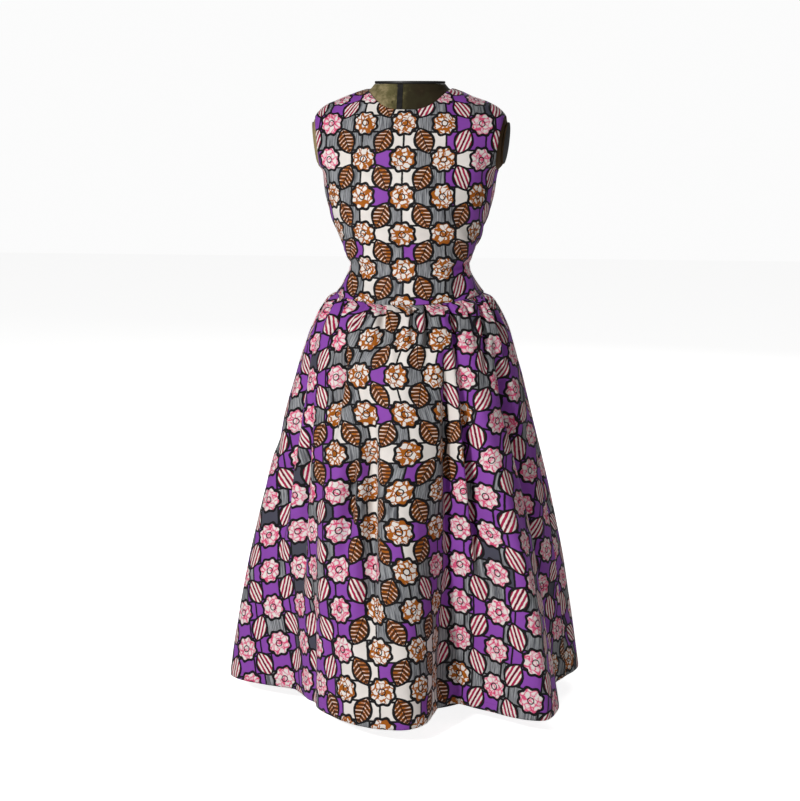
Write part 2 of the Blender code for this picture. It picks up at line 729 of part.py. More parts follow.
def make_stand(metal, iron, parent):
    bm, rings = turned(BASE_PROFILE)
    bm.faces.new(rings[-1][::-1])
    # The pole's hole in the boss
    floor = [bm.verts.new((v.co.x, v.co.y, POLE_FOOT_HEIGHT)) for v in rings[0]]
    for i in range(STAND_SIDES):
        j = (i + 1) % STAND_SIDES
        bm.faces.new((rings[0][i], rings[0][j], floor[j], floor[i]))
    bm.faces.new(floor)
    bmesh.ops.recalc_face_normals(bm, faces=bm.faces[:])
    add_object("stand_base", bm, iron, parent)

    pole_top = FORM_BOTTOM_HEIGHT - 2 * GAP
    bm, rings = turned(((POLE_RADIUS, pole_top), (POLE_RADIUS, POLE_FOOT_HEIGHT + GAP)))
    bm.faces.new(rings[0])
    bm.faces.new(rings[-1][::-1])
    bmesh.ops.recalc_face_normals(bm, faces=bm.faces[:])
    add_object("stand_pole", bm, metal, parent)

    top = FORM_BOTTOM_HEIGHT - GAP
    bm, rings = turned([(radius, top - drop) for radius, drop in SOCKET_PROFILE])
    for i in range(STAND_SIDES):
        j = (i + 1) % STAND_SIDES
        bm.faces.new((rings[-1][i], rings[0][i], rings[0][j], rings[-1][j]))
    bmesh.ops.recalc_face_normals(bm, faces=bm.faces[:])
    add_object("stand_socket", bm, metal, parent)


def make_dress(cloth, zip_finish, tape_finish, parent):
    side, back = math.pi / 2, math.pi
    front_edge, back_edge = (1, -GAP / 2), (1, GAP / 2)
    zip_left, zip_right = (0, ZIP_HALF_GAP), (0, -ZIP_HALF_GAP)
    bodice_back, skirt_back = BODICE_BACK_COLUMNS, SKIRT_BACK_COLUMNS
    panels = (
        # tag, start, end, bodice columns, skirt columns, first edge, last edge, armholes
        ("front", -side, side, BODICE_FRONT_COLUMNS, SKIRT_FRONT_COLUMNS,
         front_edge, front_edge, (-1, 1)),
        ("back_left", side, back, bodice_back, skirt_back, back_edge, zip_left, (1,)),
        ("back_right", -back, -side, bodice_back, skirt_back, zip_right, back_edge, (-1,)),
    )
    made = {}
    for tag, start, end, bodice_columns, skirt_columns, first, last, armholes in panels:
        bodice = bodice_rows(start, end, bodice_columns)
        bm = wall_mesh(bodice, CLOTH, first, last)
        for arm in armholes:
            cut_armhole(bm, arm, ARMHOLE_OUT)
        add_object("bodice_" + tag, bm, cloth, parent)
        skirt = skirt_rows(start, end, skirt_columns)
        add_object("skirt_" + tag, wall_mesh(skirt, CLOTH, first, last), cloth, parent)
        made[tag] = (bodice, skirt)
    bodice_left, skirt_left = made["back_left"]
    bodice_right, skirt_right = made["back_right"]
    make_zip(bodice_left, bodice_right, skirt_left, skirt_right, zip_finish, tape_finish, parent)


def main():
    clear_scene()
    root = bpy.data.objects.new("dress_on_form", None)
    bpy.context.scene.collection.objects.link(root)
    cloth = material("printed_cotton", (0.42, 0.24, 0.36), 0.78)
    linen = material("form_linen", (0.33, 0.30, 0.20), 0.85)
    black = material("form_trim", (0.02, 0.02, 0.02), 0.45)
    metal = material("stand_metal", (0.55, 0.55, 0.56), 0.3, 1.0)
    iron = material("stand_iron", (0.03, 0.03, 0.03), 0.5)
    tape = material("zip_tape_cotton", (0.30, 0.12, 0.34), 0.8)
    zip_metal = material("zip_enamel", (0.32, 0.14, 0.38), 0.35)
    make_dress(cloth, zip_metal, tape, root)
    make_form(linen, black, root)
    make_stand(metal, iron, root)


main()
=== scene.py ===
# Printed cotton midi dress on a dress form: the looks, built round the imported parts.
# Metres, +Z up. The dress faces -Y and the stand rests on the floor at the origin.
import math

import bmesh
import bpy
import numpy as np
from mathutils import Matrix, Vector


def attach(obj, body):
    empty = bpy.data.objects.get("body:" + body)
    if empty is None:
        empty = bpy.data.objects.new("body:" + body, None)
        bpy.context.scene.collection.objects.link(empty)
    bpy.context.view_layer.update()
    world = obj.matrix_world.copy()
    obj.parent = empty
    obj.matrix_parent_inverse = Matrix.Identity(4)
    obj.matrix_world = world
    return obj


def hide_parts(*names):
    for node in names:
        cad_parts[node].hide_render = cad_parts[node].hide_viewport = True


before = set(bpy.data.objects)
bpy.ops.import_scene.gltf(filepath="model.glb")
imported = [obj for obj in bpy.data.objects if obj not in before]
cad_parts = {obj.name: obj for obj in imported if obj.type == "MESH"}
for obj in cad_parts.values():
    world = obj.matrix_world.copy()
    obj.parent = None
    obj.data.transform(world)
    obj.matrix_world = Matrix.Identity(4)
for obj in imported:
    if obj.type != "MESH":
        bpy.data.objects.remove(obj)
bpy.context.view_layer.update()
print("loaded", len(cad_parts), "packed parts")


# small sums used by every piece

def smoothStep(value):
    value = np.clip(value, 0.0, 1.0)
    return value * value * (3.0 - 2.0 * value)


def hill(off, height=1.0, width=1.0):
    # a smooth swell round 0, about a third of its height at the width
    off = off / width
    return height * np.exp(-off * off)


def readTable(rows, column, height):
    # smooth value of one column at each height, the rows listed from the top down
    heights = np.array([row[0] for row in rows])[::-1]
    values = np.array([row[column] for row in rows])[::-1]
    slopes = np.empty(len(rows))
    slopes[1:-1] = (values[2:] - values[:-2]) / (heights[2:] - heights[:-2])
    slopes[0] = (values[1] - values[0]) / (heights[1] - heights[0])
    slopes[-1] = (values[-1] - values[-2]) / (heights[-1] - heights[-2])
    height = np.clip(height, heights[0], heights[-1])
    low = np.clip(np.searchsorted(heights, height, side="right") - 1, 0, len(rows) - 2)
    span = heights[low + 1] - heights[low]
    t = (height - heights[low]) / span
    return (
        values[low] * (2 * t**3 - 3 * t**2 + 1)
        + slopes[low] * span * (t**3 - 2 * t**2 + t)
        + values[low + 1] * (3 * t**2 - 2 * t**3)
        + slopes[low + 1] * span * (t**3 - t**2)
    )


def readRow(rows, height):
    # the smooth values of all the columns at one height
    return [float(readTable(rows, column, np.array(height))) for column in range(1, len(rows[0]))]


def oval(angle, halfWidth, front, back, squareness):
    # plan outline, the angle running from the centre front towards +X
    power = 2.0 / squareness
    sine, cosine = np.sin(angle), np.cos(angle)
    depth = np.where(cosine > 0, front, back)
    x = halfWidth * np.sign(sine) * np.abs(sine) ** power
    y = -depth * np.sign(cosine) * np.abs(cosine) ** power
    return x, y


def unit(vectors):
    return vectors / np.maximum(np.linalg.norm(vectors, axis=-1, keepdims=True), 1e-12)


def lengthsAlong(points, axis):
    steps = np.linalg.norm(np.diff(points, axis=axis), axis=-1)
    start = np.zeros_like(np.take(steps, [0], axis=axis))
    return np.concatenate([start, np.cumsum(steps, axis=axis)], axis=axis)


def addObject(name, data):
    made = bpy.data.objects.new(name, data)
    bpy.context.scene.collection.objects.link(made)
    return made


# camera, where the photo was taken from

cameraPlace = {
    "turn": 7.0,            # degrees round towards the wearer's left
    "distance": 3.3,
    "height": 1.133,
    "tiltDown": 9.84,
    "lens": 80.0,
    "shiftX": -0.0125,
}


def addCamera():
    turn = math.radians(cameraPlace["turn"])
    data = bpy.data.cameras.new("photoCamera")
    data.lens = cameraPlace["lens"]
    data.shift_x = cameraPlace["shiftX"]
    camera = addObject("photoCamera", data)
    away = cameraPlace["distance"]
    camera.location = (away * math.sin(turn), -away * math.cos(turn), cameraPlace["height"])
    camera.rotation_euler = (math.radians(90.0 - cameraPlace["tiltDown"]), 0.0, turn)
    bpy.context.scene.camera = camera


def mathsMethod(operation, swapped=False):
    # a Math node as a method of Wire
    def method(self, *others):
        values = (*others, self) if swapped else (self, *others)
        return self.paint.maths(operation, *values)

    return method


def bothWays(operation):
    # an operator and its reflected form, so that 1 - mask works
    return mathsMethod(operation), mathsMethod(operation, swapped=True)


class Wire:
    # a shader socket that can stand in a sum

    def __init__(self, paint, socket):
        self.paint = paint
        self.socket = socket

    __add__, __radd__ = bothWays("ADD")
    __sub__, __rsub__ = bothWays("SUBTRACT")
    __mul__, __rmul__ = bothWays("MULTIPLY")
    __truediv__, __rtruediv__ = bothWays("DIVIDE")
    __mod__, __rmod__ = bothWays("FLOORED_MODULO")
    __gt__, __lt__ = mathsMethod("GREATER_THAN"), mathsMethod("LESS_THAN")
    floor, size = mathsMethod("FLOOR"), mathsMethod("ABSOLUTE")
    sine, cosine = mathsMethod("SINE"), mathsMethod("COSINE")
    power, least = mathsMethod("POWER"), mathsMethod("MINIMUM")

    def wave(self, length):
        # a cosine that comes round once in each length
        return (self * (2 * math.pi / length)).cosine()

    def soft(self, low, high):
        # 0 below low and 1 above high
        return self.paint.node(
            "MapRange",
            {"interpolation_type": "SMOOTHSTEP"},
            {"Value": self, "From Min": low, "From Max": high},
        )


class Paint:
    # one material, or the world, with its nodes made by one method

    def __init__(self, name, world=False, **fixed):
        self.owner = (bpy.data.worlds if world else bpy.data.materials).new(name)
        self.owner.use_nodes = True
        self.tree = self.owner.node_tree
        self.shader = self.tree.nodes["Background" if world else "Principled BSDF"]
        for socket, value in fixed.items():
            self.shader.inputs[socket.replace("_", " ")].default_value = value

    def node(self, kind, settings=None, inputs=None, output=0):
        made = self.tree.nodes.new("ShaderNode" + kind)
        for key, value in (settings or {}).items():
            setattr(made, key, value)
        for key, value in (inputs or {}).items():
            if isinstance(value, Wire):
                self.tree.links.new(value.socket, made.inputs[key])
            else:
                made.inputs[key].default_value = value
        return Wire(self, made.outputs[output])

    def maths(self, operation, *values):
        return self.node("Math", {"operation": operation}, dict(enumerate(values)))

    def mix(self, part, first, second):
        return self.node("Mix", {"data_type": "RGBA"}, {0: part, 6: first, 7: second}, output=2)

    def spot(self):
        # a point's place on the piece, in Object coordinates
        return self.node("TexCoord", output=3)

    def flatSpot(self):
        # its place on the flat cut of the cloth
        return self.node("UVMap", {"uv_map": "print"})

    def apart(self, vector):
        parts = self.node("SeparateXYZ", None, {0: vector}).socket.node.outputs
        return [Wire(self, part) for part in parts]

    def together(self, x, y, z=0.0):
        return self.node("CombineXYZ", None, {0: x, 1: y, 2: z})

    def noise(self, vector, scale, detail=2.0, roughness=0.5, colour=False):
        return self.node(
            "TexNoise",
            None,
            {"Vector": vector, "Scale": scale, "Detail": detail, "Roughness": roughness},
            output=1 if colour else 0,
        )

    def bump(self, height, strength, distance):
        inputs = {"Height": height, "Strength": strength, "Distance": distance}
        return self.node("Bump", None, inputs)

    def feed(self, **sockets):
        for name, wire in sockets.items():
            self.tree.links.new(wire.socket, self.shader.inputs[name.replace("_", " ")])
        return self.owner


def tint(red, green, blue):
    # screen colour from 0 to 255, as the shader's linear one
    def linear(value):
        value /= 255.0
        return value / 12.92 if value <= 0.04045 else ((value + 0.055) / 1.055) ** 2.4

    return (linear(red), linear(green), linear(blue), 1.0)


# the print: leaning rosettes with pointed leaves between them, over bricks of plain colour

printCloth = {
    "pitchAcross": 0.0740,          # rosettes stand on a square layout, a leaf between each four
    "pitchDown": 0.0690,
    "rosetteRadius": 0.0256,
    "petals": 8,
    "petalDepth": 0.0017,
    "rosetteLean": 0.35,            # radians
    "leafHalfLength": 0.0280,
    "leafHalfWidth": 0.0198,
    "leafLean": 0.42,
    "ribPitch": 0.0074,             # stripes that fill the leaves
    "outline": 0.0054,
    "brickWidth": 0.0390,
    "brickHeight": 0.0345,
    "brickLine": 0.0019,
    "bandWidth": 0.62,              # from one ochre stripe of colour to the next
    "bandShare": 0.40,              # more gives the ochre less room
    "bandWave": 0.38,               # how much the stripes widen and narrow
    "waveLength": 0.48,
    "waver": 0.0007,                # unsteady edges of a wax print
    "warmShares": (0.46, 0.90),     # bricks among ochre: grey, then cream, then purple
    "coolShares": (0.27, 0.33),     # bricks among purple: grey, then slate, then purple
    "greyThreads": (460.0, 20.0),   # how fine they are across and down
    "crackle": 105.0,
    "crackleBend": 0.008,
    "eyeShare": 0.22,               # the ring in a rosette's middle, as a share of its radius
    "warpPitch": 0.00052,
    "weftPitch": 0.00058,
    "purple": tint(146, 74, 180),
    "cream": tint(244, 237, 231),
    "greyLight": tint(172, 174, 177),
    "greyDark": tint(82, 84, 90),
    "slate": tint(74, 74, 88),
    "black": tint(9, 6, 10),
    "ochre": tint(174, 94, 6),
    "brown": tint(78, 40, 5),
    "pink": tint(232, 84, 128),
    "palePink": tint(240, 200, 208),
    "crimson": tint(178, 28, 76),
    "roughness": 0.72,
}


def makePrintedCotton():
    p = printCloth
    paint = Paint(
        "printedCotton", Roughness=p["roughness"], Specular_IOR_Level=0.25,
        Sheen_Weight=0.06, Sheen_Roughness=0.5,
    )
    place = paint.flatSpot()
    flatX, flatY, _ = paint.apart(place)
    drift = paint.noise(paint.together(flatX, flatY), 160.0, 2.0, 0.5, colour=True)
    driftX, driftY, _ = paint.apart(drift)
    x = flatX + (driftX - 0.5) * (2.0 * p["waver"])
    y = flatY + (driftY - 0.5) * (2.0 * p["waver"])

    def stripe(centreX, centreY):
        # 1 in the ochre stripes and 0 in the purple ones, at a motif's own centre
        wave = (centreY * (2 * math.pi / p["waveLength"]) + math.pi).cosine() * p["bandWave"]
        return (centreX.wave(p["bandWidth"]) + wave) > p["bandShare"]

    def cell(x, y, wide, high):
        # the nearest centre, and the place measured from it
        column, row = (x / wide + 0.5).floor(), (y / high + 0.5).floor()
        return column, row, x - column * wide, y - row * high

    def outlined(inside, fill, under):
        # a motif with its black outline, over what is under it
        line = inside.soft(p["outline"] - 0.0004, p["outline"] + 0.0002)
        return paint.mix(inside.soft(-0.0002, 0.0002), under, paint.mix(line, p["black"], fill))

    # bricks, some plain and some with grey threads running down them
    rowHere = (y / p["brickHeight"] + 0.5).floor()
    shifted = x + (rowHere % 2.0) * (p["brickWidth"] / 2)
    column, row, inX, inY = cell(shifted, y, p["brickWidth"], p["brickHeight"])
    edge = ((p["brickWidth"] / 2) - inX.size()).least((p["brickHeight"] / 2) - inY.size())
    brickLine = 1.0 - edge.soft(p["brickLine"] * 0.7, p["brickLine"] * 1.3)
    warm = stripe(column * p["brickWidth"], row * p["brickHeight"])
    luck = paint.node(
        "TexWhiteNoise", {"noise_dimensions": "3D"}, {"Vector": paint.together(column, row, 3.0)}
    )
    fine, coarse = p["greyThreads"]
    threads = paint.noise(paint.together(flatX * fine, flatY * coarse), 1.0, 3.0, 0.7)
    grey = paint.mix(threads.soft(0.36, 0.64), p["greyDark"], p["greyLight"])
    first, second = p["warmShares"]
    warmGround = paint.mix(luck > first, grey, paint.mix(luck > second, p["cream"], p["purple"]))
    first, second = p["coolShares"]
    coolGround = paint.mix(luck > first, grey, paint.mix(luck > second, p["slate"], p["purple"]))
    ground = paint.mix(brickLine, paint.mix(warm, coolGround, warmGround), p["black"])

    # crackle that fills the rosettes
    bend = paint.noise(paint.together(flatX, flatY), 150.0, 3.0, 0.6, colour=True)
    bendX, bendY, _ = paint.apart(bend)
    much = p["crackleBend"]
    crackPlace = paint.together(flatX + (bendX - 0.5) * much, flatY + (bendY - 0.5) * much)
    crack = paint.node(
        "TexVoronoi", {"feature": "DISTANCE_TO_EDGE"},
        {"Vector": crackPlace, "Scale": p["crackle"]},
    )
    blot = paint.noise(paint.together(flatX, flatY), 70.0, 2.0)
    ochreFill = paint.mix((crack + (blot - 0.5) * 0.42).soft(0.10, 0.14), p["ochre"], p["cream"])
    pinkFill = paint.mix((crack + (blot - 0.5) * 0.30).soft(0.04, 0.09), p["pink"], p["palePink"])
    pinkFill = paint.mix((crack + (blot - 0.5) * 0.45).soft(0.16, 0.20), pinkFill, p["cream"])

    # rosettes
    column, row, inX, inY = cell(x, y, p["pitchAcross"], p["pitchDown"])
    reach = (inX * inX + inY * inY).power(0.5)
    turn = paint.maths("ARCTAN2", inY, inX)
    petal = ((turn + p["rosetteLean"]) * float(p["petals"])).cosine() * p["petalDepth"]
    inside = p["rosetteRadius"] + petal - reach
    warm = stripe(column * p["pitchAcross"], row * p["pitchDown"])
    rosette = paint.mix(warm, pinkFill, ochreFill)
    eye = (reach - p["rosetteRadius"] * p["eyeShare"]).size().soft(0.0006, 0.0013)
    rosette = paint.mix(eye, p["black"], rosette)
    cloth = outlined(inside, rosette, ground)

    # leaves, leaning one way and the other by turns
    column, row, inX, inY = cell(
        x + p["pitchAcross"] / 2, y + p["pitchDown"] / 2, p["pitchAcross"], p["pitchDown"]
    )
    lean = ((column + row) % 2.0) * (2 * p["leafLean"]) - p["leafLean"]
    along = inY * lean.cosine() + inX * lean.sine()
    across = inX * lean.cosine() - inY * lean.sine()
    bulge = 1.0 - (along / p["leafHalfLength"]) * (along / p["leafHalfLength"])
    inside = bulge * p["leafHalfWidth"] - across.size()
    warm = stripe(column * p["pitchAcross"], row * p["pitchDown"])
    broken = paint.noise(paint.together(flatX * 60.0, flatY * 300.0), 1.0, 2.0) - 0.5
    ribs = (along + across.size() * 0.45).wave(p["ribPitch"])
    brownFill = paint.mix(ribs.soft(-0.25, 0.25), p["brown"], p["ochre"])
    brownFill = paint.mix((ribs + broken * 1.6).soft(0.82, 1.00), brownFill, p["cream"])
    brokenAcross = paint.noise(paint.together(flatX * 300.0, flatY * 60.0), 1.0, 2.0) - 0.5
    ribsAcross = across.wave(p["ribPitch"]) + brokenAcross * 1.4
    leaf = paint.mix(
        warm, paint.mix(ribsAcross.soft(-0.35, 0.05), p["cream"], p["crimson"]), brownFill
    )
    spine = across.size().soft(0.0005, 0.0011)
    cloth = outlined(inside, paint.mix(spine, p["black"], leaf), cloth)

    # the cloth's own weave and a little unevenness of the dye
    patch = paint.noise(place, 22.0, 3.0, 0.6)
    cloth = paint.mix(patch.soft(0.35, 0.75) * 0.08, cloth, p["black"])
    slub = paint.noise(paint.together(flatX * 40.0, flatY), 60.0, 2.0)
    weave = flatX.wave(p["warpPitch"]) * flatY.wave(p["weftPitch"]) * 0.5 + slub * 0.6
    normal = paint.bump(weave, 0.35, 0.00010)
    shine = p["roughness"] + (slub - 0.5) * 0.12
    return paint.feed(Base_Color=cloth, Normal=normal, Roughness=shine)


# how the body and skirt stand at each height

bodyShape = {
    "sections": (
        # height, half width, front, back, squareness
        (1.1480, 0.0620, 0.0480, 0.0580, 2.00),
        (1.1395, 0.0759, 0.0510, 0.0630, 1.85),
        (1.1314, 0.1020, 0.0540, 0.0680, 1.70),
        (1.1205, 0.1300, 0.0585, 0.0740, 1.65),
        (1.1100, 0.1525, 0.0625, 0.0800, 1.70),
        (1.0990, 0.1680, 0.0670, 0.0850, 1.80),
        (1.0830, 0.1810, 0.0755, 0.0910, 1.95),
        (1.0480, 0.1890, 0.0920, 0.1010, 2.10),
        (1.0100, 0.1800, 0.1070, 0.1060, 2.20),
        (0.9920, 0.1642, 0.1135, 0.1070, 2.25),
        (0.9730, 0.1595, 0.1195, 0.1060, 2.30),
        (0.9280, 0.1500, 0.1260, 0.1010, 2.30),
        (0.8855, 0.1356, 0.1180, 0.0915, 2.25),
        (0.8405, 0.1189, 0.1010, 0.0800, 2.20),
        (0.8180, 0.1105, 0.0955, 0.0806, 2.20),
        (0.7960, 0.1185, 0.1000, 0.0828, 2.15),
        (0.7740, 0.1315, 0.1090, 0.0930, 2.10),
        (0.7510, 0.1490, 0.1230, 0.1070, 2.05),
        (0.7175, 0.1700, 0.1450, 0.1300, 2.05),
        (0.6840, 0.1865, 0.1640, 0.1500, 2.00),
        (0.6160, 0.2055, 0.1890, 0.1790, 2.00),
        (0.5250, 0.2230, 0.2130, 0.2070, 2.00),
        (0.3880, 0.2470, 0.2410, 0.2390, 2.00),
        (0.2430, 0.2680, 0.2680, 0.2670, 2.00),
        (0.0200, 0.2910, 0.2950, 0.2940, 2.00),
    ),
    "hemHeight": 0.033,
    "seamFront": 0.755,
    "seamSide": 0.767,
    "seamBack": 0.760,
    "upperChest": 1.086,
    "seamGap": 0.0003,
    "zipGap": 0.0008,               # from the centre back to each back panel's edge
    "cloth": 0.0012,
}


def sectionPoint(angle, height):
    sizes = [readTable(bodyShape["sections"], column, height) for column in (1, 2, 3, 4)]
    x, y = oval(angle, *sizes)
    return np.stack([x, y, np.broadcast_to(height, x.shape)], axis=-1)


def seamHeight(angle):
    turn = np.cos(angle)
    end = np.where(turn > 0, bodyShape["seamFront"], bodyShape["seamBack"])
    return bodyShape["seamSide"] + (end - bodyShape["seamSide"]) * turn * turn


def gridNormals(points):
    # outward normals of a grid, rows from the top down and columns towards +X at the front
    down = np.gradient(points, axis=0)
    along = np.gradient(points, axis=1)
    return unit(np.cross(down, along))


def ripple(across, down, seed, length, stretch, waves=7):
    # soft uneven undulation, longer down the cloth than across it by the stretch
    draw = np.random.default_rng(seed)
    total = np.zeros(np.broadcast(across, down).shape)
    for _ in range(waves):
        turn = draw.uniform(-0.9, 0.9)
        rate = 2 * math.pi / (length * draw.uniform(0.7, 1.6))
        phase = draw.uniform(0, 2 * math.pi)
        total += np.sin(rate * (across * math.cos(turn) + down * math.sin(turn) / stretch) + phase)
    return total / math.sqrt(waves)


def trimMesh(bm, centre, normal):
    # cuts off what is past a plane
    bmesh.ops.bisect_plane(
        bm,
        geom=bm.verts[:] + bm.edges[:] + bm.faces[:],
        dist=1e-6,
        plane_co=centre,
        plane_no=normal,
        clear_outer=True,
    )


def gridMesh(points, flat):
    # a grid bent through its points, with the flat place of each as its UV
    rows, columns = points.shape[:2]
    bm = bmesh.new()
    bmesh.ops.create_grid(bm, x_segments=columns - 1, y_segments=rows - 1, size=0.5)
    layer = bm.loops.layers.uv.new("print")
    spots = {}
    for vert in bm.verts:
        j = round((vert.co.x + 0.5) * (columns - 1))
        i = round((0.5 - vert.co.y) * (rows - 1))
        spots[vert] = (i, j)
    for face in bm.faces:
        for loop in face.loops:
            loop[layer].uv = flat[spots[loop.vert]]
    for vert, spot in spots.items():
        vert.co = points[spot]
    bm.normal_update()
    return bm


def newPiece(name, bm, material, sharp=None, body="dress", replaces=(), second=None):
    # a mesh in its place, riding on its body; edges steeper than sharp degrees stay crisp
    mesh = bpy.data.meshes.new(name)
    bm.to_mesh(mesh)
    bm.free()
    for finish in (material, second):
        if finish:
            mesh.materials.append(finish)
    mesh.shade_smooth()
    if sharp:
        mesh.set_sharp_from_angle(angle=math.radians(sharp))
    piece = addObject(name, mesh)
    if replaces:
        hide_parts(*replaces)
    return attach(piece, body)


def addWall(piece, thickness):
    wall = piece.modifiers.new("wall", "SOLIDIFY")
    wall.thickness = thickness
    wall.offset = -1.0


def softenEdges(piece, width):
    soft = piece.modifiers.new("soft edges", "BEVEL")
    soft.width = width
    soft.segments = 2
    soft.limit_method = "ANGLE"
    soft.angle_limit = math.radians(30.0)


def clothPanel(name, points, flat, material, trims, node):
    # a shell of cloth, and what it measures when laid flat: width, length and area
    bm = gridMesh(points, flat)
    for centre, normal in trims:
        trimMesh(bm, centre, normal)
    layer = bm.loops.layers.uv["print"]
    area, corners = 0.0, []
    for face in bm.faces:
        spots = [loop[layer].uv.copy() for loop in face.loops]
        turned = zip(spots, spots[1:] + spots[:1])
        area += abs(sum(a.x * b.y - b.x * a.y for a, b in turned)) / 2
        corners += spots
    width = max(spot.x for spot in corners) - min(spot.x for spot in corners)
    length = max(spot.y for spot in corners) - min(spot.y for spot in corners)
    piece = newPiece(name, bm, material, replaces=[node])
    addWall(piece, bodyShape["cloth"])
    return piece, (width, length, area)


skirt = {
    "folds": (
        # angle, reach at the hem, start, drift
        (-166.0, 0.040, 0.10, 3.0),
        (-144.0, -0.045, 0.16, -2.0),
        (-121.0, 0.034, 0.05, 3.0),
        (-101.0, -0.026, 0.30, 2.0),
        (-80.0, 0.056, 0.00, -3.0),
        (-53.0, -0.048, 0.30, -2.0),
        (4.0, 0.042, 0.04, -3.0),
        (29.0, -0.084, 0.10, -4.0),
        (48.0, 0.078, 0.22, -4.0),
        (79.0, -0.004, 0.16, -8.0),
        (106.0, 0.042, 0.02, -3.0),
        (131.0, -0.050, 0.14, 3.0),
        (155.0, 0.036, 0.06, 2.0),
        (176.0, -0.034, 0.34, -2.0),
    ),
    "foldFull": 1.18,               # how far down the folds would be whole, past the hem
    "foldPower": 0.85,
    "creases": (
        # top angle, foot angle, half width in degrees, depth, start, deepest, end
        (35.8, 42.5, 4.3, -0.050, 0.04, 0.46, 0.96),
        (30.0, 38.0, 2.4, 0.012, 0.12, 0.50, 0.88),
        (26.2, 27.5, 3.3, -0.032, 0.04, 0.34, 0.98),
        (31.0, 19.5, 4.0, -0.026, 0.60, 0.90, 1.20),
        (39.5, 38.8, 2.4, -0.012, 0.72, 0.92, 1.20),
        (49.5, 48.5, 4.2, 0.014, 0.30, 0.75, 1.20),
        (62.0, 66.0, 3.4, -0.016, 0.62, 0.92, 1.25),
        (60.0, 80.0, 4.8, -0.030, 0.02, 0.30, 1.00),
        (-15.0, -4.5, 4.0, -0.040, 0.14, 0.50, 0.94),
        (-22.5, -17.0, 3.2, -0.030, 0.26, 0.47, 0.72),
        (-33.0, -27.0, 4.6, 0.012, 0.25, 0.62, 1.00),
        (-31.0, -33.0, 2.8, -0.022, 0.03, 0.18, 0.44),
        (-53.5, -47.0, 3.8, -0.034, 0.18, 0.47, 0.80),
        (-64.0, -67.0, 4.2, -0.021, 0.08, 0.34, 0.95),
        (-40.0, -36.0, 3.0, -0.010, 0.62, 0.86, 1.20),
        (-112.0, -110.0, 4.0, -0.012, 0.04, 0.35, 0.85),
        (-133.0, -130.0, 4.0, -0.010, 0.05, 0.30, 0.80),
        (118.0, 121.0, 4.0, -0.013, 0.04, 0.38, 0.88),
        (142.0, 144.0, 3.5, -0.010, 0.06, 0.30, 0.75),
    ),
    "gatherFolds": (
        # top angle, foot angle, half width in degrees, depth, end
        (-74.0, -74.0, 2.6, -0.0087, 0.15),
        (-62.0, -62.0, 3.0, -0.0109, 0.19),
        (-45.0, -38.0, 2.6, -0.0140, 0.18),
        (-43.5, -41.0, 2.4, -0.0080, 0.24),
        (-26.0, -24.5, 2.4, -0.0087, 0.13),
        (-12.0, -6.0, 2.6, -0.0150, 0.20),
        (7.0, 7.5, 2.0, -0.0112, 0.13),
        (16.0, 15.0, 2.5, -0.0150, 0.22),
        (35.0, 31.5, 2.4, -0.0140, 0.17),
        (33.5, 35.3, 2.8, -0.0116, 0.32),
        (47.0, 46.0, 2.2, -0.0120, 0.15),
        (61.5, 46.0, 3.2, -0.0170, 0.24),
        (70.0, 71.0, 2.8, -0.0150, 0.21),
        (98.0, 99.0, 3.0, -0.0087, 0.22),
        (114.0, 116.0, 2.6, -0.0072, 0.16),
        (133.0, 134.0, 3.0, -0.0094, 0.26),
        (149.0, 150.0, 2.4, -0.0065, 0.14),
        (-84.0, -83.0, 3.0, -0.0087, 0.20),
        (-104.0, -103.0, 2.6, -0.0080, 0.18),
        (-122.0, -121.0, 3.2, -0.0094, 0.28),
        (-141.0, -140.0, 2.4, -0.0072, 0.15),
        (-156.0, -155.0, 2.6, -0.0065, 0.17),
    ),
    "gathers": 84,                  # small pleats drawn up under the waist seam
    "gatherDepth": 0.0064,
    "gatherSeed": 11,
    "gatherRise": 0.011,
    "gatherEnds": (
        # how far down one reaches, and how often
        (0.07, 0.28),
        (0.11, 0.27),
        (0.16, 0.21),
        (0.24, 0.15),
        (0.36, 0.09),
    ),
    "puff": 0.0046,                 # how far the cloth springs out just under the seam
    "puffRise": 0.022,
    "puffFall": 0.20,
    "tuck": 0.0013,                 # how far its top goes in behind the bodice's edge
    "tuckFall": 0.012,
    "flatBack": 11.0,               # degrees each side of the zip that it holds flat
    "unrest": (
        # seed, length of a wave, stretch down the cloth, height
        (5, 0.075, 6.0, 0.0011),
        (50, 0.030, 4.0, 0.00035),
    ),
    "seamSink": (0.0009, 1.2),      # depth, and half width in columns
    "hemTurn": (0.0010, 0.0022),    # depth and half width
    "rows": 170,
    "crowding": 0.45,               # how much the rows crowd up to the gathers
    "crowdPower": 2.2,
    "evenFrom": 0.12,               # how far down the columns begin evenly spaced
    "evenSpeed": 1.15,              # how soon they are even again
    "frontColumns": 240,
    "backColumns": 120,
    "gatherRatio": 1.35,            # cut width at the waist over the seam's length
}


def backWindow(angle):
    # 0 at the zip and 1 where the cloth is free of it
    return 1.0 - hill(math.pi - np.abs(angle), 1.0, math.radians(skirt["flatBack"]))


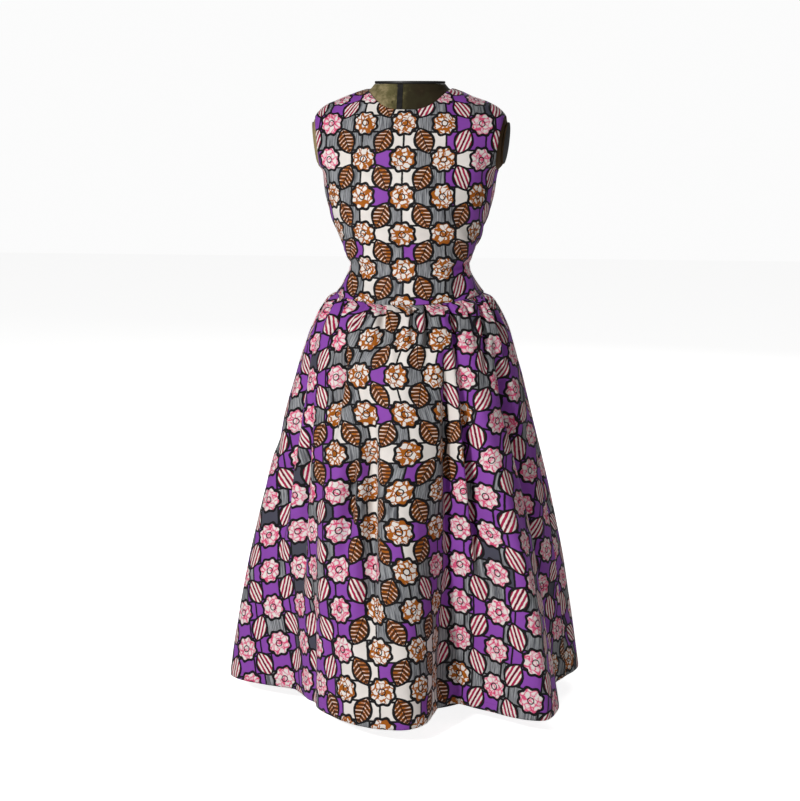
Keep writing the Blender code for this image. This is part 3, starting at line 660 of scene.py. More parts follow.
def foldReach(angle, down):
    # the large folds, from 0 at the seam to 1 at the hem
    full = float(smoothStep(1.0 / skirt["foldFull"])) ** skirt["foldPower"]
    marks = []
    for foot, reach, start, drift in skirt["folds"]:
        part = (down - start) / (skirt["foldFull"] - start)
        grown = smoothStep(part) ** skirt["foldPower"] / full
        marks.append((foot + drift * (1.0 - down), reach * grown))
    marks = [(marks[-1][0] - 360.0, marks[-1][1])] + marks + [(marks[0][0] + 360.0, marks[0][1])]
    turn = np.degrees(angle)
    turn = np.where(turn < marks[0][0], turn + 360.0, turn)
    turn = np.where(turn > marks[-1][0], turn - 360.0, turn)
    reach = np.zeros(turn.shape)
    for (left, first), (right, second) in zip(marks, marks[1:]):
        part = (1.0 - np.cos(math.pi * (turn - left) / (right - left))) / 2.0
        reach = np.where((turn >= left) & (turn <= right), first + (second - first) * part, reach)
    return reach


def creaseReach(angle, down):
    turn = np.degrees(angle)
    total = np.zeros(turn.shape)
    for top, foot, width, depth, start, deepest, end in skirt["creases"]:
        rise = smoothStep((down - start) / (deepest - start))
        fall = smoothStep((end - down) / (end - deepest))
        total += rise * fall * hill(turn - top - (foot - top) * down, depth, width)
    return total


def gatherReach(angle, down):
    # each small gather has its own place, width, height, length and lean
    draw = np.random.default_rng(skirt["gatherSeed"])
    turn = np.degrees(angle)
    total = np.zeros(np.broadcast(turn, down).shape)
    pitch = 360.0 / skirt["gathers"]
    ends, chances = zip(*skirt["gatherEnds"])
    for k in range(skirt["gathers"]):
        centre = -180.0 + pitch * (k + draw.uniform(0.15, 0.85))
        width = pitch * draw.uniform(0.26, 0.46)
        height = skirt["gatherDepth"] * draw.uniform(0.35, 1.25)
        end = draw.choice(ends, p=chances) * draw.uniform(0.85, 1.15)
        lean = draw.uniform(-5.0, 5.0)
        fade = smoothStep(down / skirt["gatherRise"]) * smoothStep((end - down) / end)
        spread = width * (1.0 + 1.6 * down / end)
        total += fade * hill(turn - centre - lean * down, height, spread)
    for top, foot, width, depth, end in skirt["gatherFolds"]:
        fade = smoothStep(down / 0.010) * smoothStep((end - down) / (end * 0.85))
        spread = width * (0.50 + 1.10 * down / end)
        total += fade * hill(turn - top - (foot - top) * down / end, depth, spread)
    return total * backWindow(angle)


def skirtPoint(angle, down):
    top = seamHeight(angle) - bodyShape["seamGap"]
    height = top + (bodyShape["hemHeight"] - top) * down
    point = sectionPoint(angle, height)
    folds = foldReach(angle, down) * (1.0 - (1.0 - backWindow(angle)) * (1.0 - down) ** 2)
    reach = folds + creaseReach(angle, down)
    rise = skirt["puffRise"]
    puff = smoothStep(down / rise) * (1.0 - smoothStep((down - rise) / skirt["puffFall"]))
    tuck = skirt["tuck"] * (1.0 - smoothStep(down / skirt["tuckFall"]))
    reach += (skirt["puff"] * puff - tuck) * backWindow(angle) + gatherReach(angle, down)
    out = point * np.array([1.0, 1.0, 0.0])
    return point + unit(out) * reach[..., None]


def evenAngles(start, end, count, down):
    # the angles that part a panel into equal lengths, this far down it
    fine = np.linspace(start, end, 2401)
    lengths = lengthsAlong(skirtPoint(fine, np.full(fine.shape, down)), 0)
    return np.interp(np.linspace(0.0, lengths[-1], count + 1), lengths, fine)


def skirtPanel(name, node, start, end, columns, plumb, material):
    # plumb says which side of the cut piece the print runs level with: its middle or its zip edge
    steps = np.linspace(0.0, 1.0, skirt["rows"] + 1)
    crowding = skirt["crowding"]
    steps = crowding * steps ** skirt["crowdPower"] + (1.0 - crowding) * steps
    upper = evenAngles(start, end, columns, skirt["evenFrom"])
    lower = evenAngles(start, end, columns, 1.0)
    part = smoothStep(steps * skirt["evenSpeed"])[:, None]
    angles = upper * (1 - part) + lower * part
    down = np.broadcast_to(steps[:, None], angles.shape)
    points = skirtPoint(angles, down)
    edge = np.minimum(np.arange(columns + 1), columns - np.arange(columns + 1))[None, :]
    normals = gridNormals(points)

    # flat place of each point in a flared cut
    along = lengthsAlong(points, 1)
    seamLength = lengthsAlong(sectionPoint(angles[[0]], seamHeight(angles[[0]])), 1)[0, -1]
    length = lengthsAlong(points, 0)
    middle = length[:, columns // 2][:, None]
    topWidth = seamLength * skirt["gatherRatio"]
    hemWidth = along[-1, -1]
    spread = (hemWidth - topWidth) / middle[-1, 0]
    radius = topWidth / spread + middle
    share = along / along[:, [-1]] - {"middle": 0.5, "last": 1.0, "first": 0.0}[plumb]
    turn = share * spread
    flat = np.stack([radius * np.sin(turn), topWidth / spread - radius * np.cos(turn)], axis=-1)

    # soft unevenness, none at the seams
    loose = smoothStep(down / 0.05) * smoothStep(edge / 4.0)
    arc = along - along[:, [columns // 2]]
    soft = np.zeros(arc.shape)
    for seed, wave, stretch, height in skirt["unrest"]:
        soft += ripple(arc, middle, seed + len(name), wave, stretch) * height
    points = points + normals * (soft * loose)[..., None]

    # seams sink a little where the panels meet, and the hem turns under
    sink = hill(edge, *skirt["seamSink"]) + hill(middle[-1] - middle, *skirt["hemTurn"])
    points = points - normals * sink[..., None]
    holdEdges(points, start, end)
    print(name, "is", round(topWidth, 3), "m at the waist before gathering and", end=" ")
    print(round(hemWidth, 3), "m at the hem")
    panel, cut = clothPanel(name, points, flat, material, (), node)
    return panel, cut, points


def holdEdges(points, start, end):
    # the edge columns stay on their seam planes
    for column, angle in ((0, start), (-1, end)):
        if abs(abs(angle) - math.pi) < 1e-6:
            points[:, column, 0] = math.copysign(bodyShape["zipGap"], angle)
        else:
            front = points[:, 1 if column == 0 else -2, 1].mean() < 0
            points[:, column, 1] = math.copysign(bodyShape["seamGap"] / 2, -1 if front else 1)


bodice = {
    "neckHalfWidth": 0.0765,
    "neckFront": 0.0655,
    "neckBack": 0.0665,
    "neckFrontSquareness": 2.4,
    "armholeOut": 0.1705,
    "armholeHeight": 1.048,
    "armholeLean": 0.12,
    "armholeTurn": 0.09,
    "printDrop": -0.17,             # how far the print is moved down from the bust line
    "printLevel": 0.985,            # height where the print's rows run level
    "creaseHeight": 0.8200,         # the fold across the waist
    "creaseDepth": 0.0026,
    "creaseTall": 0.0055,
    "blouse": 0.0046,               # how far the cloth stands out just above that fold
    "rumple": 0.0020,               # small bumps at the sides of the waist
    "rumpleUp": 0.010,              # above the crease
    "rumpleTall": 0.042,
    "rumpleWave": (21, 0.030, 0.45),        # seed, length and stretch of each kind of wrinkle
    "dragLines": 0.0022,            # lines that slant from the bust to the waist
    "dragHeight": 0.880,
    "dragTall": 0.055,
    "dragWave": (71, 0.050, 3.0),
    "unrest": 0.0012,
    "unrestWave": (33, 0.060, 1.4),
    "zipHolds": 0.40,               # radians each side of the zip
    "mostIn": 0.0032,               # deeper than this the form would show through
    "neckRoll": (0.0011, 0.0020),   # depth and half width of each edge's roll or sink
    "armholeRoll": (0.0011, 0.0022),
    "sideSink": (0.0007, 0.0016),
    "waistStand": (0.0008, 0.0045),
    "rows": 130,
    "rowPower": 1.25,               # closer rows at the neckline
    "frontColumns": 150,
    "backColumns": 76,
    "dartFold": (0.0010, 0.0016),
    "dartSwell": (0.0007, 0.0090),
    "dartFade": (0.80, 0.22),
    "dartRadius": 0.12,             # from the body's middle to the darts
    "darts": (
        # foot angle, tip angle, tip height
        (34.0, 30.0, 0.905),
        (-34.0, -30.0, 0.905),
        (145.0, 148.0, 0.930),
        (-145.0, -148.0, 0.930),
    ),
}


def neckHeight(angle):
    # where the bodice at an angle comes in to the neckline's outline
    front = np.cos(angle) > 0
    depth = np.where(front, bodice["neckFront"], bodice["neckBack"])
    squareness = np.where(front, bodice["neckFrontSquareness"], 2.0)
    low = np.full(angle.shape, bodyShape["upperChest"])
    high = np.full(angle.shape, bodyShape["sections"][0][0])
    for _ in range(30):
        middle = (low + high) / 2
        point = sectionPoint(angle, middle)
        across = (np.abs(point[..., 0]) / bodice["neckHalfWidth"]) ** squareness
        inside = across + (np.abs(point[..., 1]) / depth) ** squareness < 1.0
        high = np.where(inside, middle, high)
        low = np.where(inside, low, middle)
    return low


def armholePlane(side):
    normal = Vector((side, -bodice["armholeTurn"], -bodice["armholeLean"])).normalized()
    return Vector((side * bodice["armholeOut"], 0.0, bodice["armholeHeight"])), normal


def dartReach(angles, heights):
    # darts from the waist seam to the bust and the shoulder blades
    base = bodyShape["seamFront"]
    total = np.zeros(angles.shape)
    for foot, tip, tipHeight in bodice["darts"]:
        part = np.clip((heights - base) / (tipHeight - base), 0.0, 1.3)
        turn = np.degrees(angles) - foot - (tip - foot) * part
        off = np.radians(turn) * bodice["dartRadius"]
        fade = 1.0 - smoothStep((part - bodice["dartFade"][0]) / bodice["dartFade"][1])
        total += fade * (hill(off, *bodice["dartSwell"]) - hill(off, *bodice["dartFold"]))
    return total


def wrinkleReach(angles, heights, flatX, own):
    # soft wrinkles, drawn by each panel's own number; the zip holds the cloth beside it flat
    b = bodice
    side = np.abs(np.sin(angles))
    sides = smoothStep(side * 1.4 - 0.15)
    outline = smoothStep((side - 0.86) / 0.14)      # calmer where the sides are seen edge on

    def drawn(kind, across):
        seed, length, stretch = b[kind]
        return ripple(across, heights, seed + own, length, stretch)

    wrinkle = np.maximum(drawn("rumpleWave", flatX * 0.45), -0.4)
    nearWaist = hill(heights - b["creaseHeight"] - b["rumpleUp"], b["rumple"], b["rumpleTall"])
    total = wrinkle * nearWaist * (0.18 + 0.82 * sides) * (1.0 - 0.6 * outline)

    below = heights - b["dragHeight"]
    slant = 0.7 * (flatX + below * np.sign(flatX + 1e-9))
    drag = np.maximum(drawn("dragWave", slant), -0.3)
    total += drag * hill(below, b["dragLines"], b["dragTall"]) * (0.35 + 0.65 * sides)
    total += drawn("unrestWave", flatX) * b["unrest"]

    waver = 0.0030 * np.sin(angles * 5.0 + 0.7) + 0.0016 * np.sin(angles * 11.0)
    off = (heights - b["creaseHeight"] - waver) / b["creaseTall"]
    uneven = 0.62 + 0.38 * np.sin(angles * 7.0 + 2.1) * np.sin(angles * 2.0 + 0.4)
    total -= uneven * hill(off, b["creaseDepth"])
    total += uneven * (1.0 - 0.8 * outline) * hill(off - 2.7, b["blouse"], 2.1)
    return total * smoothStep((math.pi - np.abs(angles)) / b["zipHolds"])


def bodicePanel(name, node, start, end, columns, arms, plumb, material):
    rows = bodice["rows"]
    steps = np.linspace(0.0, 1.0, rows + 1) ** bodice["rowPower"]
    angles = np.broadcast_to(np.linspace(start, end, columns + 1), (rows + 1, columns + 1))
    top = neckHeight(angles[0])[None, :]
    heights = top + (seamHeight(angles) - top) * steps[:, None]
    points = sectionPoint(angles, heights)
    normals = gridNormals(points)

    # the cut is flat across, and its length is measured up and down from the bust
    along, length = lengthsAlong(points, 1), lengthsAlong(points, 0)
    column = {"middle": columns // 2, "last": columns, "first": 0}[plumb]
    flatX = along - along[:, [column]]
    level = -bodice["printLevel"]
    bust = np.array([np.interp(level, -heights[:, j], length[:, j]) for j in range(columns + 1)])
    flat = np.stack([flatX, bust[None, :] - length + bodice["printDrop"]], axis=-1)
    reach = dartReach(angles, heights) + wrinkleReach(angles, heights, flatX, len(name))

    # edges: the neckline and armholes roll in, the side seams sink, the waist stands out
    reach -= hill(length, *bodice["neckRoll"])
    reach += hill(length[-1][None, :] - length, *bodice["waistStand"])
    reach -= hill(np.minimum(along, along[:, [-1]] - along), *bodice["sideSink"])
    for side in arms:
        centre, normal = armholePlane(side)
        reach -= hill((points - np.array(centre)) @ np.array(normal), *bodice["armholeRoll"])
    reach = np.maximum(reach, -bodice["mostIn"])
    points = points + normals * reach[..., None]
    holdEdges(points, start, end)
    trims = [armholePlane(side) for side in arms]
    panel, cut = clothPanel(name, points, flat, material, trims, node)
    return panel, cut, points


def makeDress(cotton):
    side, back = math.pi / 2, math.pi
    made = {}
    for tag, node, start, end, wide, tall, arms, plumb in (
        ("Front", "front", -side, side,
         bodice["frontColumns"], skirt["frontColumns"], (-1, 1), "middle"),
        ("BackLeft", "back_left", side, back,
         bodice["backColumns"], skirt["backColumns"], (1,), "last"),
        ("BackRight", "back_right", -back, -side,
         bodice["backColumns"], skirt["backColumns"], (-1,), "first"),
    ):
        made["bodice" + tag] = bodicePanel(
            "bodice" + tag, "bodice_" + node, start, end, wide, arms, plumb, cotton
        )
        made["skirt" + tag] = skirtPanel(
            "skirt" + tag, "skirt_" + node, start, end, tall, plumb, cotton
        )
    return made


def declareSheets(dress):
    # what each panel was cut to before it was sewn up
    for name, (piece, (width, length, area), _) in dress.items():
        print(name, "cut", round(width, 3), "x", round(length, 3), "m,", round(area, 3), "m2")


# sewing thread: small stitches set along lines on the cloth
thread = {
    "pitch": 0.0031,
    "length": 0.0022,
    "thick": 0.00042,
    "neckIn": 0.0055,               # from the neckline's edge
    "armholeIn": 0.0055,
    "armholeFoot": 0.93,            # lower than this the plane is past the armhole
    "hemUp": 0.0160,
    "colour": tint(44, 26, 50),
    "light": tint(78, 54, 86),
}


def readLine(at, lengths, values):
    # a line's values at some lengths along it
    return np.stack([np.interp(at, lengths, values[:, i]) for i in range(3)], axis=1)


def evenSpots(path, outward, pitch):
    # spots a pitch apart along a line, with its direction and the cloth's outward side
    lengths = lengthsAlong(path, 0)
    count = max(2, int(lengths[-1] / pitch))
    at = (np.arange(count) + 0.5) * lengths[-1] / count
    ahead = readLine(at + 1e-4, lengths, path) - readLine(at - 1e-4, lengths, path)
    return readLine(at, lengths, path), unit(ahead), unit(readLine(at, lengths, outward))


def addBeads(bm, spots, ahead, outs, size):
    # a small smooth bead at each spot: size is its length, width and height
    pattern = bmesh.new()
    bmesh.ops.create_icosphere(pattern, subdivisions=1, radius=0.5)
    bead = bpy.data.meshes.new("bead")
    for spot, front, out in zip(spots, ahead, outs):
        front, out = Vector(front), Vector(out)
        across = out.cross(front).normalized()
        out = front.cross(across)
        place = Matrix((front, across, out)).transposed().to_4x4()
        pattern.to_mesh(bead)
        bead.transform(Matrix.Translation(Vector(spot)) @ place @ Matrix.Diagonal((*size, 1.0)))
        bm.from_mesh(bead)
    pattern.free()
    bpy.data.meshes.remove(bead)


def lineDown(points, normals, distance):
    # the line on a grid a distance below its first row, or above its last one when negative
    if distance < 0:
        points, normals, distance = points[::-1], normals[::-1], -distance
    length = lengthsAlong(points, 0)
    path, outs = [], []
    for j in range(points.shape[1]):
        path.append(readLine([distance], length[:, j], points[:, j])[0])
        outs.append(readLine([distance], length[:, j], normals[:, j])[0])
    return np.array(path), np.array(outs)


def armholeLine(points, normals, side):
    # where a grid crosses the plane that lies a stitch line's distance inside the armhole
    centre, normal = armholePlane(side)
    inside = -((points - np.array(centre)) @ np.array(normal)) - thread["armholeIn"]
    path, outs = [], []
    for i in range(len(points)):
        for j in range(points.shape[1] - 1):
            a, b = inside[i, j], inside[i, j + 1]
            if a * b < 0 and points[i, j, 2] > thread["armholeFoot"]:
                part = a / (a - b)
                path.append(points[i, j] + (points[i, j + 1] - points[i, j]) * part)
                outs.append(normals[i, j])
    return np.array(path), np.array(outs)


def makeStitches(dress, material):
    # one piece of thread for each panel, named for it
    made = {}
    size = (thread["length"], thread["thick"], thread["thick"])
    for name, (_, _, points) in dress.items():
        normals = gridNormals(points)
        if name.startswith("bodice"):
            lines = [lineDown(points, normals, thread["neckIn"])]
            for side in {"Front": (-1, 1), "BackLeft": (1,), "BackRight": (-1,)}[name[6:]]:
                lines.append(armholeLine(points, normals, side))
        else:
            lines = [lineDown(points, normals, -thread["hemUp"])]
        bm = bmesh.new()
        for path, outs in lines:
            addBeads(bm, *evenSpots(path, outs, thread["pitch"]), size)
        made[name] = [newPiece(name + "Stitches", bm, material)]
    return made


# concealed zip down the centre back: coil, tapes, slider and pull
zipper = {
    "coilTop": 1.1125,
    "coilFoot": 0.5560,
    "coilDepth": 0.0017,            # below the cloth's outer face
    "toothPitch": 0.00125,
    "toothOff": 0.00062,            # each side of the middle
    "toothSize": (0.00085, 0.0019, 0.0009),
    "edgeWear": 0.00018,
    "tape": (tint(108, 56, 132), tint(136, 82, 158), 0.0009),       # dark, light, rib pitch
    "enamel": tint(112, 58, 138),
    "bare": tint(168, 150, 176),    # where the enamel is rubbed
}


def backLine():
    # the centre back from the neckline down to the foot of the zip
    waist = float(seamHeight(np.array([math.pi]))[0])
    upper = np.linspace(zipper["coilTop"], waist, 160)
    top = sectionPoint(np.full(upper.shape, math.pi), upper)
    down = np.linspace(0.0, 0.32, 160)[1:]
    low = skirtPoint(np.full(down.shape, math.pi), down)
    low = low[low[:, 2] > zipper["coilFoot"]]
    line = np.concatenate([top, low])
    line[:, 0] = 0.0
    return line


def detailCopy(node, name, body, material):
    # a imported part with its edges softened
    bm = bmesh.new()
    bm.from_mesh(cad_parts[node].data)
    bmesh.ops.remove_doubles(bm, verts=bm.verts[:], dist=1e-6)
    bmesh.ops.dissolve_limit(
        bm, angle_limit=math.radians(1.0), verts=bm.verts[:], edges=bm.edges[:]
    )
    piece = newPiece(name, bm, material, sharp=30.0, body=body, replaces=[node])
    softenEdges(piece, zipper["edgeWear"])


def makeZip(enamel, tape):
    line = backLine()
    ahead = unit(np.gradient(line, axis=0))
    outs = unit(np.cross(np.array([1.0, 0.0, 0.0]), ahead))
    outs *= np.sign(outs[:, [1]])
    spots, ahead, outs = evenSpots(line - outs * zipper["coilDepth"], outs, zipper["toothPitch"])
    aside = np.where(np.arange(len(spots)) % 2 == 0, 1.0, -1.0) * zipper["toothOff"]
    spots[:, 0] += aside
    bm = bmesh.new()
    addBeads(bm, spots, ahead, outs, zipper["toothSize"])
    newPiece("zipCoil", bm, enamel)
    print("zip coil", len(spots), "teeth")
    detailCopy("zip_slider", "zipSlider", "dress", enamel)
    detailCopy("zip_pull", "zipPull", "zip_pull", enamel)
    for node in ("zip_tape_left", "zip_tape_right"):
        repaint(node, tape)


def repaint(node, material):
    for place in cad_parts[node].material_slots:
        place.material = material


# the dress form that wears it
dressForm = {
    "neckRings": (
        # height, half width, front, back
        (1.1470, 0.0650, 0.0460, 0.0535),
        (1.1400, 0.0705, 0.0475, 0.0560),
    ),
    "shoulderHeight": 1.1370,
    "hipRings": (
        (0.7480, 0.1290, 0.1060, 0.0960),
        (0.7080, 0.1420, 0.1130, 0.1080),
        (0.6580, 0.1540, 0.1190, 0.1160),
        (0.6080, 0.1590, 0.1200, 0.1180),
        (0.5680, 0.1560, 0.1170, 0.1150),
        (0.5510, 0.1480, 0.1100, 0.1080),
        (0.5480, 0.1400, 0.1030, 0.1010),
    ),
    "hipSquareness": 2.1,
    "lift": 0.0018,                 # the form stands inside the dress by these
    "ease": 0.0030,
    "easeBack": 0.0072,
    "waistEase": 0.0010,
    "armStub": 0.0032,              # how far its arms stand out of the armholes
    "sides": 192,
    "capThick": 0.0050,
    "capInset": 0.0004,
    "capGap": 0.0003,
    "capEdge": 0.0012,
    "plateThick": 0.0040,
    "plateHalf": (0.0380, 0.0315),
    "plateCentre": (0.0040, 1.0410),
    "plateEdge": 0.0009,
    "strip": (-0.0170, -0.0068, 1.1466, 1.0950),    # black tape on the neck: left, right, top, foot
    "stripThick": 0.0005,
    "stripGap": 0.0001,
    "stripTape": (tint(14, 13, 14), tint(36, 34, 34), 0.0012),      # dark, light, rib pitch
    "trim": (tint(16, 15, 15), tint(52, 49, 46)),
    "beige": tint(172, 156, 116),
    "olive": tint(104, 98, 62),
    "brown": tint(86, 64, 40),
    "stain": tint(58, 48, 32),
    # near-black olive: grime on random patches, and painted shade towards the form's left side
    "shadeAndGrime": tint(38, 34, 20),
    "paintedShadeSlopes": (4.5, 4.4, 11.0),     # painted shade: how fast olive, brown and the near-black shade-and-grime colour grow towards its left side, the side away from the key light
    "linenThread": 0.0011,
}


def formSizes(height):
    # half width, front, back and squareness of the form at a height
    halfWidth, front, back, squareness = readRow(bodyShape["sections"], height + dressForm["lift"])
    low = float(smoothStep((bodyShape["upperChest"] - height) / 0.2))
    ease = dressForm["ease"] + dressForm["waistEase"] * low
    return halfWidth - ease, front - ease, back - dressForm["easeBack"], squareness


def makeTorso(linen):
    rings = [(row[0], (*row[1:], 2.0)) for row in dressForm["neckRings"]]
    for height in np.concatenate([
        np.linspace(dressForm["shoulderHeight"], bodyShape["upperChest"], 26),
        np.linspace(bodyShape["upperChest"], 0.7600, 60)[1:],
    ]):
        rings.append((float(height), formSizes(float(height))))
    hips = dressForm["hipRings"]
    for height in np.linspace(hips[0][0], hips[-1][0], 60):
        rings.append((float(height), (*readRow(hips, height), dressForm["hipSquareness"])))
    turn = np.linspace(-math.pi, math.pi, dressForm["sides"] + 1)
    points = []
    for height, sizes in rings:
        x, y = oval(turn, *sizes)
        points.append(np.stack([x, y, np.full(x.shape, height)], axis=-1))
    points = np.array(points)
    points[:, -1] = points[:, 0]
    along, length = lengthsAlong(points, 1), lengthsAlong(points, 0)
    middle = dressForm["sides"] // 2
    flatY = np.broadcast_to(-length[:, [middle]], along.shape)
    flat = np.stack([along - along[:, [middle]], flatY], axis=-1)
    bm = gridMesh(points, flat)
    bmesh.ops.remove_doubles(bm, verts=bm.verts[:], dist=1e-5)
    for side in (-1, 1):
        centre, normal = armholePlane(side)
        trimMesh(bm, centre + Vector((side * dressForm["armStub"], 0.0, 0.0)), normal)
    bmesh.ops.holes_fill(bm, edges=[edge for edge in bm.edges if edge.is_boundary], sides=0)
    bmesh.ops.recalc_face_normals(bm, faces=bm.faces[:])
    newPiece("formTorso", bm, linen, sharp=40.0, replaces=["form_torso"])


def bevelRim(bm, width, segments=3):
    # rounds the rim between a disc's flat faces and its wall
    edges = [edge for edge in bm.edges if edge.calc_face_angle(0.0) > math.radians(60.0)]
    bmesh.ops.bevel(
        bm, geom=edges, offset=width, segments=segments, profile=0.5, affect="EDGES", material=-1
    )


def ovalDisc(halfWide, front, back, thickness, rim):
    # a flat disc in XY, its underside at 0
    bm = bmesh.new()
    bmesh.ops.create_circle(bm, cap_ends=True, segments=96, radius=1.0)
    for vert in bm.verts:
        vert.co.x *= halfWide
        vert.co.y *= back if vert.co.y > 0 else front
    grown = bmesh.ops.extrude_face_region(bm, geom=bm.faces[:])
    moved = [item for item in grown["geom"] if isinstance(item, bmesh.types.BMVert)]
    bmesh.ops.translate(bm, vec=(0.0, 0.0, thickness), verts=moved)
    bmesh.ops.recalc_face_normals(bm, faces=bm.faces[:])
    bevelRim(bm, rim)
    return bm


def makeTrims(trim, linen):
    f = dressForm
    top, halfWide, front, back = f["neckRings"][0]
    inset = f["capInset"]
    bm = ovalDisc(halfWide - inset, front - inset, back - inset, f["capThick"], f["capEdge"])
    bmesh.ops.translate(bm, vec=(0.0, 0.0, top + f["capGap"]), verts=bm.verts[:])
    newPiece("formNeckCap", bm, trim, sharp=30.0, replaces=["form_neck_cap"])

    for side, tag in ((1, "Left"), (-1, "Right")):
        _, normal = armholePlane(side)
        halfHigh, halfDeep = f["plateHalf"]
        y, z = f["plateCentre"]
        out = bodice["armholeOut"] + f["armStub"] + bodice["armholeTurn"] * y
        out += bodice["armholeLean"] * (z - bodice["armholeHeight"])
        place = Vector((side * out, y, z)) + normal * f["capGap"]
        bm = ovalDisc(halfHigh, halfDeep, halfDeep, f["plateThick"], f["plateEdge"])
        bm.normal_update()
        for face in bm.faces:
            face.material_index = 0 if face.normal.z > 0.99 else 1      # the wall is covered
        across = Vector((0.0, 1.0, 0.0))
        across = (across - normal * across.dot(normal)).normalized()
        turn = Matrix((across.cross(normal), across, normal)).transposed()
        bmesh.ops.rotate(bm, verts=bm.verts[:], matrix=turn)
        bmesh.ops.translate(bm, vec=place, verts=bm.verts[:])
        bmesh.ops.recalc_face_normals(bm, faces=bm.faces[:])
        newPiece(
            "formArmPlate" + tag, bm, trim, sharp=30.0,
            replaces=["form_arm_plate_" + tag.lower()], second=linen,
        )


def makeNeckStrip(tape):
    left, right, top, foot = dressForm["strip"]
    rim, neck = dressForm["neckRings"]
    across = np.linspace(left, right, 9)
    points = []
    for height in np.linspace(top, foot, 40):
        if height >= neck[0]:
            part = (height - neck[0]) / (rim[0] - neck[0])
            wide, front = (neck[i] + (rim[i] - neck[i]) * part for i in (1, 2))
            square = 2.0
        else:
            wide, front, _, square = formSizes(float(height))
        y = -front * (1.0 - (np.abs(across) / wide) ** square) ** (1.0 / square)
        points.append(np.stack([across, y, np.full(across.shape, height)], axis=-1))
    points = np.array(points)
    points += gridNormals(points) * (dressForm["stripThick"] + dressForm["stripGap"])
    flat = np.stack([lengthsAlong(points, 1), -lengthsAlong(points, 0)], axis=-1)
    strip = newPiece("formNeckTape", gridMesh(points, flat), tape)
    addWall(strip, dressForm["stripThick"])


# stand: radius and height of each turned part, from the top down
stand = {
    "base": (
        (0.0, 0.010), (0.0143, 0.010), (0.0143, 0.058), (0.026, 0.058), (0.030, 0.052),
        (0.033, 0.036), (0.046, 0.026), (0.128, 0.016), (0.137, 0.013), (0.140, 0.007),
        (0.140, 0.002), (0.138, 0.0), (0.0, 0.0),
    ),
    "pole": ((0.0, 0.5474), (0.0140, 0.5474), (0.0140, 0.0103), (0.0, 0.0103)),
    "socket": (
        (0.0143, 0.5477), (0.045, 0.5477), (0.045, 0.5417), (0.025, 0.5387), (0.022, 0.5337),
        (0.022, 0.4877), (0.0143, 0.4877), (0.0143, 0.5477),
    ),
    "steps": 96,
    "edge": 0.0008,
    "steel": (tint(178, 178, 180), tint(140, 139, 138)),
    "iron": (tint(30, 30, 31), tint(58, 55, 52)),
}


def turnedPiece(name, node, profile, material):
    bm = bmesh.new()
    verts = [bm.verts.new((radius, 0.0, height)) for radius, height in profile]
    edges = [bm.edges.new(pair) for pair in zip(verts, verts[1:])]
    bmesh.ops.spin(
        bm, geom=verts + edges, cent=(0, 0, 0), axis=(0, 0, 1), angle=2 * math.pi,
        steps=stand["steps"], use_merge=True, use_duplicate=False,
    )
    bmesh.ops.remove_doubles(bm, verts=bm.verts[:], dist=1e-6)
    bmesh.ops.recalc_face_normals(bm, faces=bm.faces[:])
    piece = newPiece(name, bm, material, sharp=30.0, replaces=[node])
    softenEdges(piece, stand["edge"])


def makeStand(steel, iron):
    turnedPiece("standBase", "stand_base", stand["base"], iron)
    turnedPiece("standPole", "stand_pole", stand["pole"], steel)
    turnedPiece("standSocket", "stand_socket", stand["socket"], steel)


def makeLinen():
    # old coarse linen: beige worn through to olive and brown, with stains, and with painted shade
    # that darkens it towards its left side
    f = dressForm
    paint = Paint("agedLinen", Roughness=0.86, Specular_IOR_Level=0.2)
    spot = paint.spot()
    patch = paint.noise(spot, 16.0, 4.0, 0.62)
    fine = paint.noise(spot, 95.0, 3.0, 0.6)
    blot = paint.noise(spot, 38.0, 3.0, 0.55)
    x, _, _ = paint.apart(spot)
    olive, brown, shadeAndGrime = f["paintedShadeSlopes"]
    # olive on random worn patches, and more of it towards the left side as painted shade
    worn = patch + (fine - 0.5) * 0.35 + x * olive + 0.17
    colour = paint.mix(worn.soft(0.38, 0.60), f["beige"], f["olive"])
    # brown on random blots, and more of it towards the left side as painted shade
    colour = paint.mix((blot + x * brown).soft(0.50, 0.70), colour, f["brown"])
    # painted shade and grime: the near-black colour on random patches, growing towards the left
    # side as painted shade and easing off again past about 0.1 m to that side
    shadeAndGrimeMask = (patch * 0.8 + fine * 0.4 + x * shadeAndGrime).soft(0.28, 0.64) * (1.0 - x.soft(0.07, 0.13))
    colour = paint.mix(shadeAndGrimeMask * 0.88, colour, f["shadeAndGrime"])
    colour = paint.mix((fine * 0.6 + blot * 0.5).soft(0.66, 0.76), colour, f["stain"])
    flatX, flatY, _ = paint.apart(paint.flatSpot())
    slub = paint.noise(paint.together(flatX * 70.0, flatY * 900.0), 1.0, 2.0)
    slubDown = paint.noise(paint.together(flatX * 900.0, flatY * 70.0), 1.0, 2.0)
    grid = flatX.wave(f["linenThread"]) * flatY.wave(f["linenThread"])
    weave = grid * 0.5 + slub * 0.8 + slubDown * 0.8
    colour = paint.mix((weave * 0.4).soft(0.10, 0.60) * 0.30, colour, f["stain"])
    return paint.feed(Base_Color=colour, Normal=paint.bump(weave, 0.6, 0.00025))


def makeTrim():
    # black moulded caps, satin, a little scuffed
    paint = Paint("blackTrim", Roughness=0.42)
    spot = paint.spot()
    scuff = paint.noise(spot, 60.0, 4.0, 0.6)
    grain = paint.noise(spot, 900.0, 2.0)
    colour = paint.mix(scuff.soft(0.55, 0.85) * 0.6, *dressForm["trim"])
    return paint.feed(
        Base_Color=colour, Roughness=0.34 + scuff * 0.25, Normal=paint.bump(grain, 0.25, 0.0001)
    )


